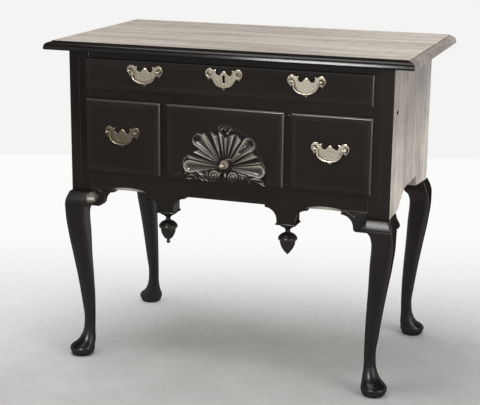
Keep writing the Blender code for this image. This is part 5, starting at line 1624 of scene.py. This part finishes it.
# Camera fitted to the photograph's straight edges
cameraShape = {"place": (0.93431, -2.79904, 1.12431), "yaw": 0.3335, "pitch": 0.25362, "roll": 0.00975,
               "lens": 94.113, "sensor": 36.0, "nearest": 0.05}
yaw, pitch, roll = (cameraShape[key] for key in ("yaw", "pitch", "roll"))
ahead = Vector((-math.sin(yaw) * math.cos(pitch), math.cos(yaw) * math.cos(pitch), -math.sin(pitch)))
across = Vector((math.cos(yaw), math.sin(yaw), 0.0))
upward = across.cross(ahead)
right = math.cos(roll) * across + math.sin(roll) * upward
over = -math.sin(roll) * across + math.cos(roll) * upward
lens = bpy.data.cameras.new("camera")
lens.lens = cameraShape["lens"]
lens.sensor_width = cameraShape["sensor"]
lens.sensor_fit = "HORIZONTAL"
lens.clip_start = cameraShape["nearest"]
camera = linked("camera", lens)
turned = Matrix((right, over, -ahead)).transposed().to_4x4()
camera.matrix_world = Matrix.Translation(cameraShape["place"]) @ turned
bpy.context.scene.camera = camera

# Studio: a pale paper floor turned square to the camera, white at its far edge, and soft lamps
studio = {"ambient": 0.36, "ceiling": "#4c4b4a", "background": "#f4f4f3", "ceilingFrom": 0.18,
          "ceilingFull": 0.45, "far": 2.15, "side": 6.5, "near": 9.5, "corner": 0.9, "below": 0.0004}
lamps = {"front": {"at": (-0.22, -2.65, 1.46), "aim": (0.0, 0.0, 0.5), "size": (0.84, 0.56),
                   "power": 60, "diffuse": False},  # seen as gloss only
         "right": {"at": (2.3, -1.0, 0.9), "aim": (0.3, -0.1, 0.5), "size": (1.3, 1.2),
                   "power": 20, "diffuse": True},
         "over": {"at": (-0.35, -0.15, 2.6), "aim": (0.0, 0.0, 0.6), "size": (1.7, 1.5),
                  "power": 34, "diffuse": True}}
paperLook = {"near": "#d4d3d1", "pale": "#fafaf9", "speck": "#a8a7a5", "mirrored": "#7c7b79",
             "far": "#fbfbfa", "cloudMm": 260, "threadMm": 9, "rough": 0.9, "specular": 0.15}


# Mottled grey paper in front that runs out to plain white behind and all round
def makePaper(name, look):
    material, tree, shader = newMaterial(name)
    coords = addNode(tree, "TexCoord", {}, {}).outputs["Object"]
    squared = addNode(tree, "Mapping", {"vector_type": "TEXTURE"},
                      {"Vector": coords, "Rotation": (0.0, 0.0, yaw)}).outputs[0]
    depth = addNode(tree, "SeparateXYZ", {}, {0: squared}).outputs["Y"]
    clouds = noise(tree, coords, look["cloudMm"], 8.0, 0.68)
    threads = addNode(tree, "Mapping", {}, {"Vector": squared, "Scale": (0.6, 1.0, 1.0)}).outputs[0]
    weave = noise(tree, threads, look["threadMm"], 3.0, 0.7)
    cloudy = maths(tree, "MULTIPLY_ADD", clouds, 0.9, depth)
    flecked = maths(tree, "MULTIPLY_ADD", weave, 0.5, cloudy)
    tint = mixed(tree, ranged(tree, flecked, 0.10, 0.95, kind="SMOOTHSTEP"), look["near"], look["pale"])
    speckled = mixed(tree, ranged(tree, weave, 0.50, 0.66, 0.0, 0.26), tint, look["speck"], "MULTIPLY")
    seen = addNode(tree, "LightPath", {}, {}).outputs
    inGloss = maths(tree, "MULTIPLY", ranged(tree, depth, -0.40, -0.80), seen["Is Glossy Ray"])
    feed(tree, shader, {"Base Color": mixed(tree, inGloss, speckled, look["mirrored"]),
                        "Roughness": look["rough"], "Specular IOR Level": look["specular"]})
    straight = maths(tree, "MAXIMUM", seen["Is Camera Ray"], seen["Is Transmission Ray"])
    shown = maths(tree, "MAXIMUM", straight, seen["Is Glossy Ray"])
    behind = maths(tree, "MULTIPLY", ranged(tree, depth, 0.0, 1.0, kind="SMOOTHSTEP"), shown)
    away = addNode(tree, "VectorMath", {"operation": "LENGTH"}, {0: squared}).outputs["Value"]
    around = maths(tree, "MULTIPLY", ranged(tree, away, 0.85, 1.7, kind="SMOOTHSTEP"), straight)
    share = maths(tree, "MAXIMUM", behind, around)
    white = addNode(tree, "Emission", {}, {"Color": hexLinear(look["far"]), "Strength": 1.0})
    either = addNode(tree, "MixShader", {}, {0: share, 1: shader.outputs[0], 2: white.outputs[0]})
    feed(tree, tree.nodes["Material Output"], {"Surface": either.outputs[0]})
    return material


bm = bmesh.new()
ring = roundedRing(-studio["side"], -studio["near"], studio["side"], studio["far"], studio["corner"],
                   -studio["below"], 16)
turn = Matrix.Rotation(yaw, 4, "Z")
bm.faces.new([bm.verts.new(turn @ Vector(point)) for point in ring])
floorMesh = meshFrom(bm, "paperFloor")
if floorMesh.polygons[0].normal.z < 0:
    floorMesh.flip_normals()
floorMesh.materials.append(makePaper("matPaperSweep", paperLook))
linked("paperFloor", floorMesh)

# The world: even light, a pale background, and a dim ceiling that only the gloss shows
world = bpy.data.worlds.new("studio")
bpy.context.scene.world = world
world.use_nodes = True
sky = world.node_tree
sky.nodes.clear()
seen = addNode(sky, "LightPath", {}, {}).outputs
shown = maths(sky, "MAXIMUM", seen["Is Camera Ray"], seen["Is Glossy Ray"])
shown = maths(sky, "MAXIMUM", shown, seen["Is Transmission Ray"])
ambient = addNode(sky, "Background", {}, {"Color": hexLinear("#ffffff"), "Strength": studio["ambient"]})
heading = addNode(sky, "TexCoord", {}, {}).outputs["Generated"]
height = addNode(sky, "SeparateXYZ", {}, {0: heading}).outputs["Z"]
raised = ranged(sky, height, studio["ceilingFrom"], studio["ceilingFull"], kind="SMOOTHSTEP")
dim = maths(sky, "MULTIPLY", raised, seen["Is Glossy Ray"])
walls = mixed(sky, dim, studio["background"], studio["ceiling"])
backdrop = addNode(sky, "Background", {}, {"Color": walls, "Strength": 1.0})
either = addNode(sky, "MixShader", {}, {0: shown, 1: ambient.outputs[0], 2: backdrop.outputs[0]})
addNode(sky, "OutputWorld", {}, {"Surface": either.outputs[0]})
for name, lamp in lamps.items():
    light = bpy.data.lights.new(name, "AREA")
    light.shape = "RECTANGLE"
    light.size, light.size_y = lamp["size"]
    light.energy = lamp["power"]
    holder = linked(name, light)
    holder.location = lamp["at"]
    holder.visible_diffuse = lamp["diffuse"]
    aim = Vector(lamp["aim"]) - Vector(lamp["at"])
    holder.rotation_euler = aim.to_track_quat("-Z", "Y").to_euler()
bpy.context.scene.view_settings.view_transform = "Standard"
print("studio made")
